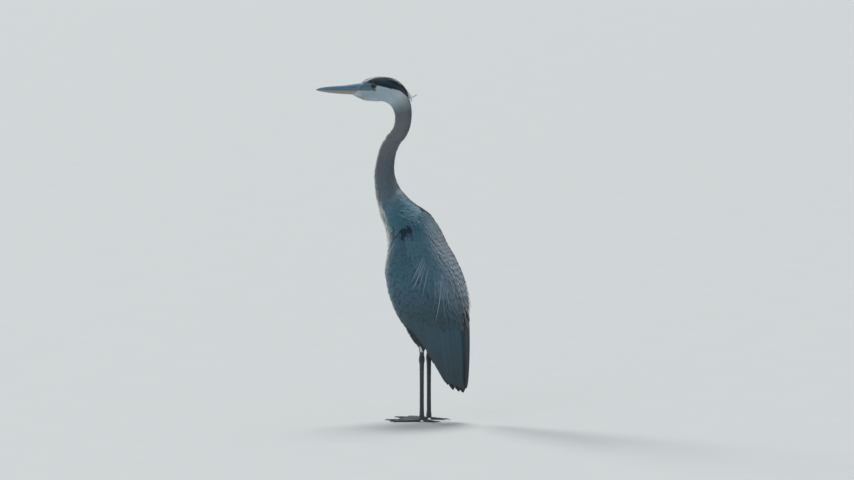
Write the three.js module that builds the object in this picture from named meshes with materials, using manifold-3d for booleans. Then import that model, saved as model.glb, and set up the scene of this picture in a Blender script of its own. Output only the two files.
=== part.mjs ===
// Great blue heron (Ardea herodias): a life-size still model, standing upright and alert, head turned to
// its left. Millimetres, +Z up. The bird faces -X and its left side is -Y. The origin lies on the floor,
// under the middle of the outline. Most pieces are closed tubes or shells, laid on oval sections that a
// few stations give.
import * as THREE from "three";
import { mergeVertices } from "three/addons/utils/BufferGeometryUtils.js";
import Module from "manifold-3d";

const wasm = await Module();
wasm.setup();

// ---------------------------------------------------------------- driving dimensions
const GAP = 0.3; // clearance between pieces that touch
const ROOM = 0.9; // clearance of the thigh, which is cut by all that folds over it
const FACET_TOLERANCE = 0.15; // faces flatter than this are merged
const HEAD_TURN = 15; // degrees the head looks to its left
const NAPE_X = -71; // the head turns about a vertical line through here
const BILL_TIP_X = -320.4;
const GAPE_Z = 958; // height of the line between the two halves of the bill
const EYE = { x: -151.5, z: 970.5, side: 15.2, radius: 8.2 };
const LEG_SPREAD = 30; // each foot's distance from the middle plane
const LEG_X = 1;
const LEG_DEPTH = 1.35; // legs are deeper than they are broad
const HOCK_Z = 181;
const ANKLE_Z = 17;
const TOE_PAD = 4.6; // radius of a toe at its root
const SOLE_CUT = 0.9; // how much the floor flattens each pad
const FLIGHT_FEATHERS = 7; // secondaries and tertials that show on a folded wing
const PRIMARIES = 5;
const TAIL_FEATHERS = 6;
const WING_TIP_Z = 80;
const CROWN_PLUME_LIFT = 2.6; // how far the plumes of the hind crown lie off the head
const COVERT_ROW = 5;

// Head and neck, from the chin back over the nape and down into the breast. "back" is the half depth on
// the crown and hind-neck side, "front" on the throat side, and "side" the half breadth.
const HEAD_NECK = [
  { x: -217, z: 944.5, back: 3, front: 3, side: 4, turn: HEAD_TURN },
  { x: -207, z: 947, back: 8, front: 8.5, side: 9.5, turn: HEAD_TURN },
  { x: -193.5, z: 953, back: 19, front: 18.5, side: 14, turn: HEAD_TURN },
  { x: -182.5, z: 956, back: 24.5, front: 25, side: 16.5, turn: HEAD_TURN },
  { x: -169.5, z: 959, back: 31.5, front: 31.5, side: 19.5, turn: HEAD_TURN },
  { x: -155.5, z: 961, back: 34, front: 35, side: 21.5, turn: HEAD_TURN },
  { x: -135.5, z: 962, back: 36.3, front: 36.5, side: 25, turn: HEAD_TURN },
  { x: -113.5, z: 957, back: 39, front: 34, side: 27, turn: HEAD_TURN },
  { x: -93, z: 945, back: 35, front: 32, side: 26.5, turn: HEAD_TURN },
  { x: -77, z: 924, back: 30, front: 28, side: 23.5, turn: HEAD_TURN },
  { x: -67.5, z: 893, back: 25.5, front: 25.5, side: 20.5, turn: 12 },
  { x: -69, z: 861, back: 24, front: 24, side: 19.5, turn: 6 },
  { x: -78.7, z: 836, back: 23.2, front: 23.2, side: 19, turn: 0 },
  { x: -97, z: 813.5, back: 23.8, front: 23.8, side: 19.5, turn: 0 },
  { x: -113.3, z: 784, back: 25.8, front: 25.8, side: 21, turn: 0 },
  { x: -122, z: 749, back: 27.3, front: 27.3, side: 23, turn: 0 },
  { x: -125, z: 711, back: 30.7, front: 30.7, side: 26, turn: 0 },
  { x: -119, z: 676, back: 35.5, front: 35, side: 30, turn: 0 },
  { x: -108.5, z: 644.5, back: 42, front: 40, side: 37, turn: 0 },
  { x: -91, z: 607, back: 48, front: 45, side: 43, turn: 0 },
  { x: -75, z: 567, back: 44, front: 41, side: 47, turn: 0 },
  { x: -65, z: 524, back: 38, front: 34, side: 45, turn: 0 },
];
const NECK_POWER = 2.2;

// Level sections of the trunk, and of the plumage that the folded wings wrap round it. "a" is the half
// depth along X and "b" the half breadth. "wing" is how far round from the middle of the back the front
// edge of the wing comes, and "cape" how far the long feathers of the shoulders do, both in degrees.
const TRUNK = [
  { z: 600, x: -31, a: 5, b: 5 },
  { z: 596, x: -31, a: 20, b: 18 },
  { z: 585, x: -31, a: 33, b: 30 },
  { z: 565, x: -31, a: 48, b: 48 },
  { z: 530, x: -27, a: 63, b: 57 },
  { z: 480, x: -19, a: 84, b: 66 },
  { z: 430, x: -10, a: 97, b: 69 },
  { z: 380, x: 0.5, a: 100, b: 67 },
  { z: 330, x: 12, a: 96, b: 60 },
  { z: 290, x: 24, a: 81, b: 47 },
  { z: 260, x: 36, a: 64, b: 40 },
  { z: 235, x: 56, a: 42, b: 32 },
  { z: 222, x: 65, a: 25, b: 22 },
  { z: 215, x: 70, a: 7, b: 7 },
];
const TRUNK_POWER = 2.3;
const PLUMAGE = [
  { z: 632, x: -60, a: 3, b: 6, cape: 170, wing: 90 },
  { z: 627, x: -52, a: 12, b: 14, cape: 150, wing: 90 },
  { z: 622, x: -45, a: 17, b: 20, cape: 135, wing: 90 },
  { z: 616, x: -39, a: 21, b: 25, cape: 125, wing: 90 },
  { z: 609, x: -31, a: 28, b: 33, cape: 118, wing: 90 },
  { z: 597, x: -29, a: 41, b: 46, cape: 110, wing: 90 },
  { z: 579, x: -29, a: 52, b: 61, cape: 104, wing: 95 },
  { z: 553, x: -25, a: 65, b: 70, cape: 97, wing: 118 },
  { z: 513, x: -20.5, a: 80.5, b: 79, cape: 90, wing: 140 },
  { z: 469, x: -12.8, a: 100, b: 84, cape: 84, wing: 152 },
  { z: 417, x: -2.4, a: 113, b: 87, cape: 76, wing: 153 },
  { z: 349, x: 13.3, a: 114, b: 84, cape: 68, wing: 152 },
  { z: 283, x: 34.3, a: 98.6, b: 73, cape: 60, wing: 150 },
  { z: 216, x: 66.8, a: 67.2, b: 57, cape: 60, wing: 148 },
  { z: 164, x: 81.7, a: 51.7, b: 43, cape: 60, wing: 150 },
  { z: 110, x: 96.8, a: 33.3, b: 28, cape: 60, wing: 150 },
  { z: 80, x: 107.5, a: 12.7, b: 11, cape: 60, wing: 150 },
];
const PLUMAGE_POWER = 2.6;
const CAPE = { outer: -4.4, inner: -1.4, middle: 0.42, mantleEnd: 404, plumeEnd: 352, jag: 26 };
const MANTLE_PLUMES = 4;
const SIDE_PLUMES = 4;

// ---------------------------------------------------------------- shape tools
const LEFT = new THREE.Vector3(0, -1, 0);
const BACKWARD = new THREE.Vector3(1, 0, 0);

// One number of a list of stations, on a uniform Catmull-Rom curve; u counts stations.
function along(stations, key, u) {
  const last = stations.length - 1;
  const i = Math.min(Math.max(Math.floor(u), 0), last - 1);
  const t = u - i;
  const p1 = stations[i][key];
  const p2 = stations[i + 1][key];
  const p0 = i > 0 ? stations[i - 1][key] : 2 * p1 - p2;
  const p3 = i + 2 <= last ? stations[i + 2][key] : 2 * p2 - p1;
  const bend = 2 * p1 - 2 * p2 + 0.5 * (p2 - p0) + 0.5 * (p3 - p1);
  const slope = 0.5 * (p2 - p0);
  return p1 + slope * t + (p2 - p1 - slope - bend) * t * t + bend * t ** 3;
}

// The u at which a list of stations reaches a height; heights fall along the list.
function levelOf(stations, z) {
  let low = 0;
  let high = stations.length - 1;
  for (let i = 0; i < 30; i++) {
    const middle = (low + high) / 2;
    if (along(stations, "z", middle) > z) low = middle;
    else high = middle;
  }
  return low;
}

const swell = (value, power) => Math.sign(value) * Math.abs(value) ** (2 / power);
const toRadians = THREE.MathUtils.degToRad;
const blend = THREE.MathUtils.lerp;

// A closed mesh as a solid for joining and cutting, turned to face outwards.
function solid(geometry) {
  const bare = geometry.clone();
  bare.deleteAttribute("normal");
  bare.deleteAttribute("uv");
  const merged = mergeVertices(bare, 1e-4);
  const corners = new Uint32Array(merged.index.array);
  const build = () =>
    new wasm.Manifold(
      new wasm.Mesh({ numProp: 3, vertProperties: merged.attributes.position.array, triVerts: corners }),
    );
  const made = build();
  if (made.volume() > 0) return made;
  for (let i = 0; i < corners.length; i += 3) {
    [corners[i + 1], corners[i + 2]] = [corners[i + 2], corners[i + 1]];
  }
  return build();
}

const cut = (piece, ...tools) => tools.reduce((left, tool) => left.subtract(tool), piece);

// Only the largest body of a solid: a cut can leave crumbs behind.
function largest(piece) {
  return piece.decompose().sort((a, b) => b.volume() - a.volume())[0];
}

function keepSide(piece, sign) {
  return piece.trimByPlane([0, sign, 0], 0.4);
}

// A closed tube: a cylinder whose vertices move onto the oval sections that section(u) gives.
function tube(section, from, to, rings, around, grow = 0) {
  const geometry = new THREE.CylinderGeometry(1, 1, 1, around, rings);
  const points = geometry.attributes.position;
  for (let i = 0; i < points.count; i++) {
    const share = 0.5 - points.getY(i);
    const s = section(blend(from, to, share));
    const spread = Math.hypot(points.getX(i), points.getZ(i));
    const angle = Math.atan2(points.getX(i), points.getZ(i));
    const across = swell(Math.sin(angle), s.power) * (s.side + grow);
    const deep = swell(Math.cos(angle), s.power) * ((Math.cos(angle) > 0 ? s.back : s.front) + grow);
    const point = s.centre
      .clone()
      .addScaledVector(s.left, across * spread)
      .addScaledVector(s.dorsal, deep * spread);
    if (share < 1e-6 || share > 1 - 1e-6) {
      const outwards = new THREE.Vector3().crossVectors(s.dorsal, s.left);
      outwards.multiplyScalar(share < 0.5 ? -grow : grow);
      point.add(outwards);
    }
    points.setXYZ(i, point.x, point.y, point.z);
  }
  return solid(geometry);
}

// A point of a level oval section, at an angle from the middle of the back, taken in by a number of
// millimetres.
function onLevel(stations, power, u, degrees, inset = 0) {
  const angle = toRadians(degrees);
  const a = Math.max(along(stations, "a", u) - inset, 0.5);
  const b = Math.max(along(stations, "b", u) - inset, 0.5);
  return new THREE.Vector3(
    along(stations, "x", u) + swell(Math.cos(angle), power) * a,
    swell(Math.sin(angle), power) * b,
    along(stations, "z", u),
  );
}

// A curved shell on level sections: a box whose length runs down the body, whose width runs round it and
// whose thickness lies between the two insets.
function shell({ stations, power, rows, columns, spot, outer, inner, grow = 0 }) {
  const geometry = new THREE.BoxGeometry(1, 1, 1, columns, rows, 1);
  const points = geometry.attributes.position;
  for (let i = 0; i < points.count; i++) {
    const column = Math.round((points.getX(i) + 0.5) * columns);
    const row = Math.round((0.5 - points.getY(i)) * rows);
    const { u, degrees } = spot(row / rows, column / columns, column);
    const inset = points.getZ(i) > 0 ? outer(row / rows, column) - grow : inner(row / rows, column) + grow;
    const point = onLevel(stations, power, u, degrees, inset);
    points.setXYZ(i, point.x, point.y, point.z);
  }
  return solid(geometry);
}

// A tube on a smooth line through points, round or oval, with radii at each point.
function limb(points, radii, rings, around, flat = 1, grow = 0) {
  const line = new THREE.CatmullRomCurve3(points);
  const sizes = radii.map((r) => ({ r }));
  const section = (u) => {
    const tangent = line.getTangent(u);
    const left = Math.abs(tangent.y) > 0.9 ? BACKWARD.clone() : LEFT.clone();
    left.addScaledVector(tangent, -left.dot(tangent)).normalize();
    const r = along(sizes, "r", u * (sizes.length - 1));
    return {
      centre: line.getPoint(u),
      left,
      dorsal: new THREE.Vector3().crossVectors(left, tangent).normalize(),
      side: r,
      back: r * flat,
      front: r * flat,
      power: 2,
    };
  };
  return tube(section, 0, 1, rings, around, grow);
}

// Turns a point or direction of the straight head to where the head looks.
function turned(vector, degrees, isDirection = false) {
  const pivot = isDirection ? 0 : NAPE_X;
  vector.x -= pivot;
  vector.applyAxisAngle(new THREE.Vector3(0, 0, 1), toRadians(degrees));
  vector.x += pivot;
  return vector;
}

// ---------------------------------------------------------------- finishes
const finish = (color, roughness) => new THREE.MeshStandardMaterial({ color, roughness, metalness: 0 });
const FINISHES = {
  slate: finish(0x4b6472, 0.8),
  neck: finish(0x6b7480, 0.85),
  white: finish(0xd6dadb, 0.85),
  black: finish(0x1a2228, 0.75),
  plume: finish(0x8494a0, 0.8),
  flight: finish(0x3b4850, 0.7),
  primary: finish(0x1d252b, 0.7),
  thigh: finish(0x6a4a3a, 0.85),
  upperBill: finish(0x5f7480, 0.4),
  lowerBill: finish(0xb59a5c, 0.4),
  eye: finish(0xd9b43a, 0.1),
  leg: finish(0x4a4a44, 0.6),
  claw: finish(0x1f1d1b, 0.45),
};

const heron = new THREE.Group();

function add(name, piece, material, tolerance = FACET_TOLERANCE) {
  const source = largest(piece.simplify(tolerance)).getMesh();
  const geometry = new THREE.BufferGeometry();
  const stride = source.numProp;
  const positions = new Float32Array(source.numVert * 3);
  for (let i = 0; i < source.numVert; i++) {
    positions.set(source.vertProperties.subarray(i * stride, i * stride + 3), i * 3);
  }
  geometry.setAttribute("position", new THREE.BufferAttribute(positions, 3));
  geometry.setIndex(new THREE.BufferAttribute(source.triVerts, 1));
  const mesh = new THREE.Mesh(geometry, FINISHES[material]);
  mesh.name = name;
  heron.add(mesh);
}

// ---------------------------------------------------------------- head, neck and bill
function neckSection(u) {
  const step = 0.02;
  const spot = (v) =>
    turned(
      new THREE.Vector3(along(HEAD_NECK, "x", v), 0, along(HEAD_NECK, "z", v)),
      along(HEAD_NECK, "turn", v),
    );
  const tangent = spot(u + step).sub(spot(u - step)).normalize();
  const left = turned(LEFT.clone(), along(HEAD_NECK, "turn", u), true);
  left.addScaledVector(tangent, -left.dot(tangent)).normalize();
  return {
    centre: spot(u),
    left,
    dorsal: new THREE.Vector3().crossVectors(left, tangent).normalize(),
    side: along(HEAD_NECK, "side", u),
    back: along(HEAD_NECK, "back", u),
    front: along(HEAD_NECK, "front", u),
    power: NECK_POWER,
  };
}

// Half sizes of the bill at a distance from its tip.
const BILL = [
  { from: 0, up: 0.9, down: 0.8, side: 0.8 },
  { from: 6, up: 3, down: 2.4, side: 1.9 },
  { from: 16, up: 5.9, down: 4.8, side: 3.4 },
  { from: 36, up: 9, down: 7.8, side: 5.2 },
  { from: 60, up: 11.3, down: 10.2, side: 6.9 },
  { from: 85, up: 13.4, down: 11.6, side: 8.6 },
  { from: 107, up: 16.4, down: 12.8, side: 10.2 },
  { from: 127, up: 19.6, down: 14, side: 11.8 },
  { from: 142, up: 21, down: 15, side: 12.6 },
];

function billSection(isUpper) {
  const lip = 0.35; // each half stops this far from the gape line
  return (u) => {
    const from = along(BILL, "from", u);
    const [up, down] = isUpper ? [along(BILL, "up", u), lip] : [lip, along(BILL, "down", u)];
    const line = GAPE_Z + (isUpper ? 2 : -2) * lip * 0.7;
    return {
      centre: turned(new THREE.Vector3(BILL_TIP_X + from, 0, line), HEAD_TURN),
      left: turned(LEFT.clone(), HEAD_TURN, true),
      dorsal: new THREE.Vector3(0, 0, 1),
      side: along(BILL, "side", u),
      back: up,
      front: down,
      power: 1.9,
    };
  };
}

const bill = (isUpper, grow = 0) => tube(billSection(isUpper), 0, BILL.length - 1, 12, 12, grow);

function eyeBall(sign, grow = 0) {
  const place = turned(new THREE.Vector3(EYE.x, sign * EYE.side, EYE.z), HEAD_TURN);
  const ball = new THREE.SphereGeometry(EYE.radius + grow, 12, 8).rotateX(Math.PI / 2);
  return solid(ball.translate(place.x, place.y, place.z));
}

// A point on the plumage of the head and neck, an angle round from the middle of the crown or hind neck.
function onNeck(u, degrees, lift) {
  const s = neckSection(u);
  const angle = toRadians(degrees);
  return s.centre
    .clone()
    .addScaledVector(s.left, swell(Math.sin(angle), s.power) * (s.side + lift))
    .addScaledVector(s.dorsal, swell(Math.cos(angle), s.power) * (s.back + lift));
}

// The two thin plumes of the hind crown, lying down the nape with their ends lifted off it.
function crownPlume(sign) {
  const points = [6.2, 7, 7.8, 8.5, 9].map((u) => onNeck(u, -sign * 16, CROWN_PLUME_LIFT));
  const free = [[-36, 5, 938.5], [-25, 4, 942.5]];
  const ends = free.map(([x, y, z]) => turned(new THREE.Vector3(x, sign * y, z), HEAD_TURN));
  return limb([...points, ...ends], [1.2, 2.2, 2.4, 2.2, 1.8, 1.2, 0.6], 10, 6, 0.6);
}

// Where the head and neck are parted, in stations, and the number of rings of each piece.
const NECK_PIECES = {
  head: [0, 9.4, 12],
  neck_upper: [9.4, 12, 5],
  neck_bend: [12, 14.5, 5],
  neck_middle: [14.5, 17, 5],
  neck_base: [17, 21, 7],
};
const NECK_SIDES = 16;
const STATION_STEP = 32; // millimetres between stations of the neck, about

function headAndNeck() {
  const pieces = {};
  for (const [name, [from, to, rings]] of Object.entries(NECK_PIECES)) {
    const partingAt = name === "neck_base" ? to : to - GAP / STATION_STEP;
    pieces[name] = tube(neckSection, from, partingAt, rings, NECK_SIDES);
  }
  pieces.head = cut(pieces.head, bill(true, GAP), bill(false, GAP), eyeBall(-1, GAP), eyeBall(1, GAP));
  add("head", pieces.head, "white", 0.06);
  add("bill_upper", bill(true), "upperBill");
  add("bill_lower", bill(false), "lowerBill");
  add("eye_left", eyeBall(-1), "eye");
  add("eye_right", eyeBall(1), "eye");
  add("crown_plume_left", crownPlume(-1), "black");
  add("crown_plume_right", crownPlume(1), "black");
  for (const name of ["neck_upper", "neck_bend", "neck_middle", "neck_base"]) {
    add(name, pieces[name], "neck");
  }
}

const neckBase = (grow) => tube(neckSection, ...NECK_PIECES.neck_base, NECK_SIDES, grow);

// ---------------------------------------------------------------- trunk, cape and drooping neck plumes
function levelSection(stations, power) {
  return (u) => ({
    centre: new THREE.Vector3(along(stations, "x", u), 0, along(stations, "z", u)),
    left: LEFT,
    dorsal: BACKWARD,
    side: along(stations, "b", u),
    back: along(stations, "a", u),
    front: along(stations, "a", u),
    power,
  });
}

const trunkForm = (grow = 0) => tube(levelSection(TRUNK, TRUNK_POWER), 0, TRUNK.length - 1, 12, 14, grow);

// One part of the cape. Its lower edge is cut into the pointed ends of its plumes.
function capePart(fromShare, toShare, endZ, plumes) {
  return shell({
    stations: PLUMAGE,
    power: PLUMAGE_POWER,
    rows: 10,
    columns: plumes * 2,
    spot: (down, across, column) => {
      // The ends of the plumes hang lower than the notches between them.
      const point = column % 2 === 1 ? endZ - CAPE.jag : endZ;
      const u = down * levelOf(PLUMAGE, point);
      return { u, degrees: blend(fromShare, toShare, across) * along(PLUMAGE, "cape", u) };
    },
    outer: (down) => (down > 0.9 ? CAPE.outer + 1 : CAPE.outer),
    inner: () => CAPE.inner,
  });
}

function neckPlumes(grow = 0) {
  const points = [
    [-119, 0, 590],
    [-107, 0, 548],
    [-99, 0, 515],
    [-101, 0, 475],
    [-103, 0, 438],
  ].map(([x, y, z]) => new THREE.Vector3(x, y, z));
  return limb(points, [15, 25, 23, 15, 3], 8, 12, 0.36, grow);
}

// ---------------------------------------------------------------- wings and tail
// Columns of a row of feathers: each feather's near edge stands proud and its far edge dips under the next
// one.
function featherColumn(column, count) {
  const feather = Math.floor(column / 2);
  return { share: (feather + (column % 2) * 0.9) / (count - 0.1), dips: column % 2 === 1 };
}

const EDGE_GROWTH = 0.012; // share of its reach that a shell gains at the front for each millimetre it grows
const END_GROWTH = 0.4; // and millimetres that it gains at its lower end
function wingShell(sign, { from, to, rows, feathers, first, last, outer, inner, scallop = 0, grow = 0 }) {
  const columns = feathers * 2 - 1;
  return shell({
    stations: PLUMAGE,
    power: PLUMAGE_POWER,
    rows,
    columns,
    grow,
    spot: (down, across, column) => {
      const { share, dips } = featherColumn(column, feathers);
      const end = to + (dips ? scallop : 0) - END_GROWTH * grow;
      const u = blend(levelOf(PLUMAGE, from), levelOf(PLUMAGE, end), down);
      const front = last + EDGE_GROWTH * grow;
      return { u, degrees: sign * blend(first, front, share) * along(PLUMAGE, "wing", u) };
    },
    outer: (down, column) => outer(down) + (featherColumn(column, feathers).dips ? 1.1 : 0),
    inner: (down) => inner(down),
  });
}

const wingCoverts = (sign, grow = 0) =>
  wingShell(sign, {
    from: 579,
    to: 232,
    rows: 10,
    feathers: COVERT_ROW,
    first: 0.004,
    last: 1,
    outer: () => 0.9,
    inner: (down) => (down < 0.7 ? Math.min(blend(5, 12, down / 0.12), 12) : 3.4),
    scallop: 12,
    grow,
  });
const wingSecondaries = (sign, grow = 0) =>
  wingShell(sign, {
    from: 318,
    to: 98,
    rows: 6,
    feathers: FLIGHT_FEATHERS,
    first: 0.004,
    last: 0.9,
    outer: (down) => (down < 0.45 ? 6.4 : 1.2),
    inner: (down) => blend(9.4, 4.8, down),
    scallop: 9,
    grow,
  });
const wingPrimaries = (sign, grow = 0) =>
  wingShell(sign, {
    from: 300,
    to: WING_TIP_Z,
    rows: 5,
    feathers: PRIMARIES,
    first: 0.03,
    last: 0.98,
    outer: (down) => (down < 0.9 ? blend(11, 6.4, down) : 1.5),
    inner: (down) => blend(15, 8.5, down),
    scallop: 6,
    grow,
  });

function tail(grow = 0) {
  const geometry = new THREE.BoxGeometry(1, 1, 1, TAIL_FEATHERS * 2, 5, 1);
  const points = geometry.attributes.position;
  for (let i = 0; i < points.count; i++) {
    const down = 0.5 - points.getY(i);
    const column = Math.round((points.getX(i) + 0.5) * TAIL_FEATHERS * 2);
    const across = points.getX(i) * 2;
    const halfWidth = blend(21, 11, down) + grow;
    const ridge = column % 2 === 1 ? 0.8 : 0;
    const back = points.getZ(i) > 0;
    const middle = new THREE.Vector3(blend(88, 112, down), 0, blend(228, 96 + 8 * Math.abs(across), down));
    const deep = (back ? 3 - ridge : -blend(6, 3, down)) + (back ? grow : -grow) - 4 * across * across;
    points.setXYZ(i, middle.x + deep, across * halfWidth, middle.z);
  }
  return solid(geometry);
}

// Loose feathers under the root of the tail.
function underTail(grow = 0) {
  const points = [
    [52, 0, 236],
    [66, 0, 205],
    [82, 0, 172],
    [96, 0, 140],
  ].map(([x, y, z]) => new THREE.Vector3(x, y, z));
  return limb(points, [22, 20, 13, 3], 6, 10, 0.6, grow);
}

// ---------------------------------------------------------------- legs and feet
function thigh(sign, grow = 0) {
  const points = [
    [-30, 32, 335],
    [-27, 33, 292],
    [-11, 33, 250],
    [1, 31, 222],
    [1, LEG_SPREAD, 204],
  ].map(([x, y, z]) => new THREE.Vector3(x, sign * y, z));
  return limb(points, [24, 26, 20, 12, 7.5], 6, 12, 1, grow);
}

// The shank, hock and tarsus are built once on the middle plane and moved to their side.
function legPiece(stations, rings, sign, grow = 0) {
  const points = stations.map(([x, z]) => new THREE.Vector3(LEG_X + x, sign * LEG_SPREAD, z));
  return limb(points, stations.map(([, , r]) => r), rings, 8, LEG_DEPTH, grow);
}

const SHANK = [[0, 203.5, 5.0], [0, HOCK_Z + 13, 5.2]];
const HOCK = [[0, HOCK_Z + 12.6, 5.3], [0, HOCK_Z + 5, 6.5], [0, HOCK_Z - 5, 6.6], [0, HOCK_Z - 13, 5.3]];
const TARSUS = [[0, HOCK_Z - 13.4, 5.2], [0, 120, 4.8], [0, 70, 4.75], [0, ANKLE_Z + 9, 5.1]];
const ANKLE = [[0, ANKLE_Z + 8.6, 5.2], [0, ANKLE_Z, 6], [0, ANKLE_Z - 7, 6], [0, 4.5, 5]];

// Toes: length without the claw, outward turn from straight ahead in degrees, and number of pads.
const TOES = {
  inner: { length: 68, turn: -18, pads: 3, claw: 12 },
  middle: { length: 92, turn: 5, pads: 4, claw: 14 },
  outer: { length: 76, turn: 30, pads: 5, claw: 12 },
  hind: { length: 40, turn: 172, pads: 2, claw: 18 },
};
const TOE_ROOT = 5.6; // where a toe leaves the ankle, from the middle of the leg

function toeDirection(sign, toe) {
  const angle = toRadians(toe.turn * sign);
  return new THREE.Vector3(-Math.cos(angle), Math.sin(angle), 0);
}

// A toe swells at each pad and narrows between them; the floor cuts a small flat under each.
function toePiece(sign, toe) {
  const root = new THREE.Vector3(LEG_X, sign * LEG_SPREAD, TOE_PAD - SOLE_CUT);
  const way = toeDirection(sign, toe);
  const section = (u) => {
    const r = blend(TOE_PAD, 2.9, u) * (1 - 0.13 * (0.5 + 0.5 * Math.cos(2 * Math.PI * toe.pads * u)));
    const centre = root.clone().addScaledVector(way, TOE_ROOT + u * toe.length);
    centre.z = blend(TOE_PAD, 2.9, u) - SOLE_CUT;
    const left = new THREE.Vector3(way.y, -way.x, 0).negate();
    return { centre, left, dorsal: new THREE.Vector3(0, 0, 1), side: r, back: r, front: r, power: 2 };
  };
  const round = tube(section, 0, 1, toe.pads * 2, 8);
  return round.trimByPlane([0, 0, 1], 0);
}

function clawPiece(sign, toe) {
  const way = toeDirection(sign, toe);
  const root = new THREE.Vector3(LEG_X, sign * LEG_SPREAD, 0);
  const from = root.addScaledVector(way, TOE_ROOT + toe.length + 3 * GAP);
  const heights = [2.1, 3.1, 2.7, 1.0];
  const points = heights.map((z, i) => from.clone().addScaledVector(way, (toe.claw * i) / 3).setZ(z));
  return limb(points, [2, 1.7, 1.2, 0.4], 6, 6).trimByPlane([0, 0, 1], 0);
}

function foot(sign, side) {
  const taken = [legPiece(ANKLE, 6, sign, GAP)];
  for (const [name, toe] of Object.entries(TOES)) {
    const piece = cut(toePiece(sign, toe), ...taken);
    add(`toe_${name}_${side}`, piece, "leg");
    add(`claw_${name}_${side}`, clawPiece(sign, toe), "claw");
    taken.push(grownToe(sign, toe));
  }
}

function grownToe(sign, toe) {
  const way = toeDirection(sign, toe);
  const from = new THREE.Vector3(LEG_X, sign * LEG_SPREAD, TOE_PAD - SOLE_CUT);
  const reach = TOE_ROOT + toe.length;
  const points = [0, 0.5, 1].map((share) => from.clone().addScaledVector(way, share * reach));
  return limb(points, [TOE_PAD + GAP, TOE_PAD + GAP, TOE_PAD], 4, 12);
}

// ---------------------------------------------------------------- assembly
const SIDES = [["left", -1], ["right", 1]];

headAndNeck();
const plumeBib = neckPlumes();
const trunk = cut(trunkForm(), neckBase(GAP), neckPlumes(GAP));
add("trunk", trunk, "slate");
add("neck_plumes", cut(plumeBib, neckBase(GAP)), "white");

const mantle = capePart(-CAPE.middle, CAPE.middle, CAPE.mantleEnd, MANTLE_PLUMES);
add("mantle", cut(mantle, neckBase(GAP)), "slate");
for (const [side, sign] of SIDES) {
  const plumes = capePart(sign * (CAPE.middle + 0.02), sign, CAPE.plumeEnd, SIDE_PLUMES);
  add(`scapular_plumes_${side}`, cut(plumes, neckBase(GAP)), "plume");
  add(`wing_coverts_${side}`, keepSide(wingCoverts(sign), sign), "slate");
  add(`secondaries_${side}`, keepSide(wingSecondaries(sign), sign), "flight");
  add(`primaries_${side}`, cut(keepSide(wingPrimaries(sign), sign), tail(GAP), underTail(GAP)), "primary");
}
add("tail", cut(tail(), trunkForm(GAP)), "flight");
add("under_tail_coverts", cut(underTail(), trunkForm(GAP), tail(GAP)), "white");

for (const [side, sign] of SIDES) {
  const wingRoom = [wingCoverts(sign, ROOM), wingSecondaries(sign, ROOM), wingPrimaries(sign, ROOM)];
  add(`thigh_${side}`, cut(thigh(sign), trunkForm(ROOM), ...wingRoom), "thigh");
  add(`shank_${side}`, cut(legPiece(SHANK, 1, sign), thigh(sign, GAP)), "leg");
  add(`hock_${side}`, legPiece(HOCK, 6, sign), "leg");
  add(`tarsus_${side}`, legPiece(TARSUS, 4, sign), "leg");
  add(`ankle_${side}`, legPiece(ANKLE, 6, sign).trimByPlane([0, 0, 1], 0), "leg");
  foot(sign, side);
}

// The origin lies under the middle of the outline.
const outline = new THREE.Box3().setFromObject(heron);
const middle = outline.getCenter(new THREE.Vector3());
heron.position.set(-middle.x, -middle.y, -outline.min.z);

export default heron;
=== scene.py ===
"""A life-size great blue heron (Ardea herodias), standing upright and alert, its head turned to its left."""

from math import cos, pi, radians, sin

import bmesh
import bpy
import numpy as np
from bpy.props import FloatProperty, FloatVectorProperty, PointerProperty
from mathutils import Matrix, Vector
from mathutils.kdtree import KDTree


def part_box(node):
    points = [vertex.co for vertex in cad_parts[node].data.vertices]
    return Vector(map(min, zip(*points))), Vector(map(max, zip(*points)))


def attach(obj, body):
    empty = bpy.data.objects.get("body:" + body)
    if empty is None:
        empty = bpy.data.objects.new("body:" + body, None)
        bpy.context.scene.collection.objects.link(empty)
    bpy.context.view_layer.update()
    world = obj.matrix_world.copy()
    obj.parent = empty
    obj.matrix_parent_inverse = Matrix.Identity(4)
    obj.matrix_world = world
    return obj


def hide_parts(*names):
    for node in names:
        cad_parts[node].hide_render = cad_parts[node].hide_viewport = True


bl_info = {
    "name": "Great Blue Heron",
    "version": (1, 0, 0),
    "blender": (4, 5, 0),
    "location": "3D View > Sidebar > Heron",
    "description": "Builds a life-size standing great blue heron with skin, feathers, bill, eyes and legs",
    "category": "Add Mesh",
}

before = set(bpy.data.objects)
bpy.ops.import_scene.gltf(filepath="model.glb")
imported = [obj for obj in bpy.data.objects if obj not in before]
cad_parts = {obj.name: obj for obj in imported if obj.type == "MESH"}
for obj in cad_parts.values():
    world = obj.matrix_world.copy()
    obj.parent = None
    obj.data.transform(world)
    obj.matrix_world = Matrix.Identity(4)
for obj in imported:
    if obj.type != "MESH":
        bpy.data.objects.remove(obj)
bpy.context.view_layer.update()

# ---------------------------------------------------------------- form, in millimetres
# The bird faces -X and its left side is -Y. Angles go round a part from the middle of its back: 90 is the
# bird's left, 180 the front or throat.
MM = 0.001
LEFT, UP, BACKWARDS = np.array((0, -1, 0)), np.array((0, 0, 1)), np.array((1, 0, 0))
HEAD_TURN = 15  # degrees the head looks to its left
NAPE_X = -71  # the head turns about a vertical line through here
GAPE_Z = 958  # height of the line between the halves of the bill
BILL_TIP_X = -320.4
EYE_X, EYE_Z, EYE_SIDE, EYE_RADIUS = -151.5, 970.5, 15.2, 8.2
LEG_X, LEG_SPREAD, LEG_DEPTH = 1, 30, 1.35
HOCK_Z, ANKLE_Z, TOE_ROOT, TOE_PAD, SOLE_CUT = 181, 17, 5.6, 4.6, 0.9

# The bird's own middle line stands this far along X in the frame.
BIRD_X = (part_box("tarsus_left")[0][0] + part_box("tarsus_left")[1][0]) / 2 / MM - LEG_X

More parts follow.
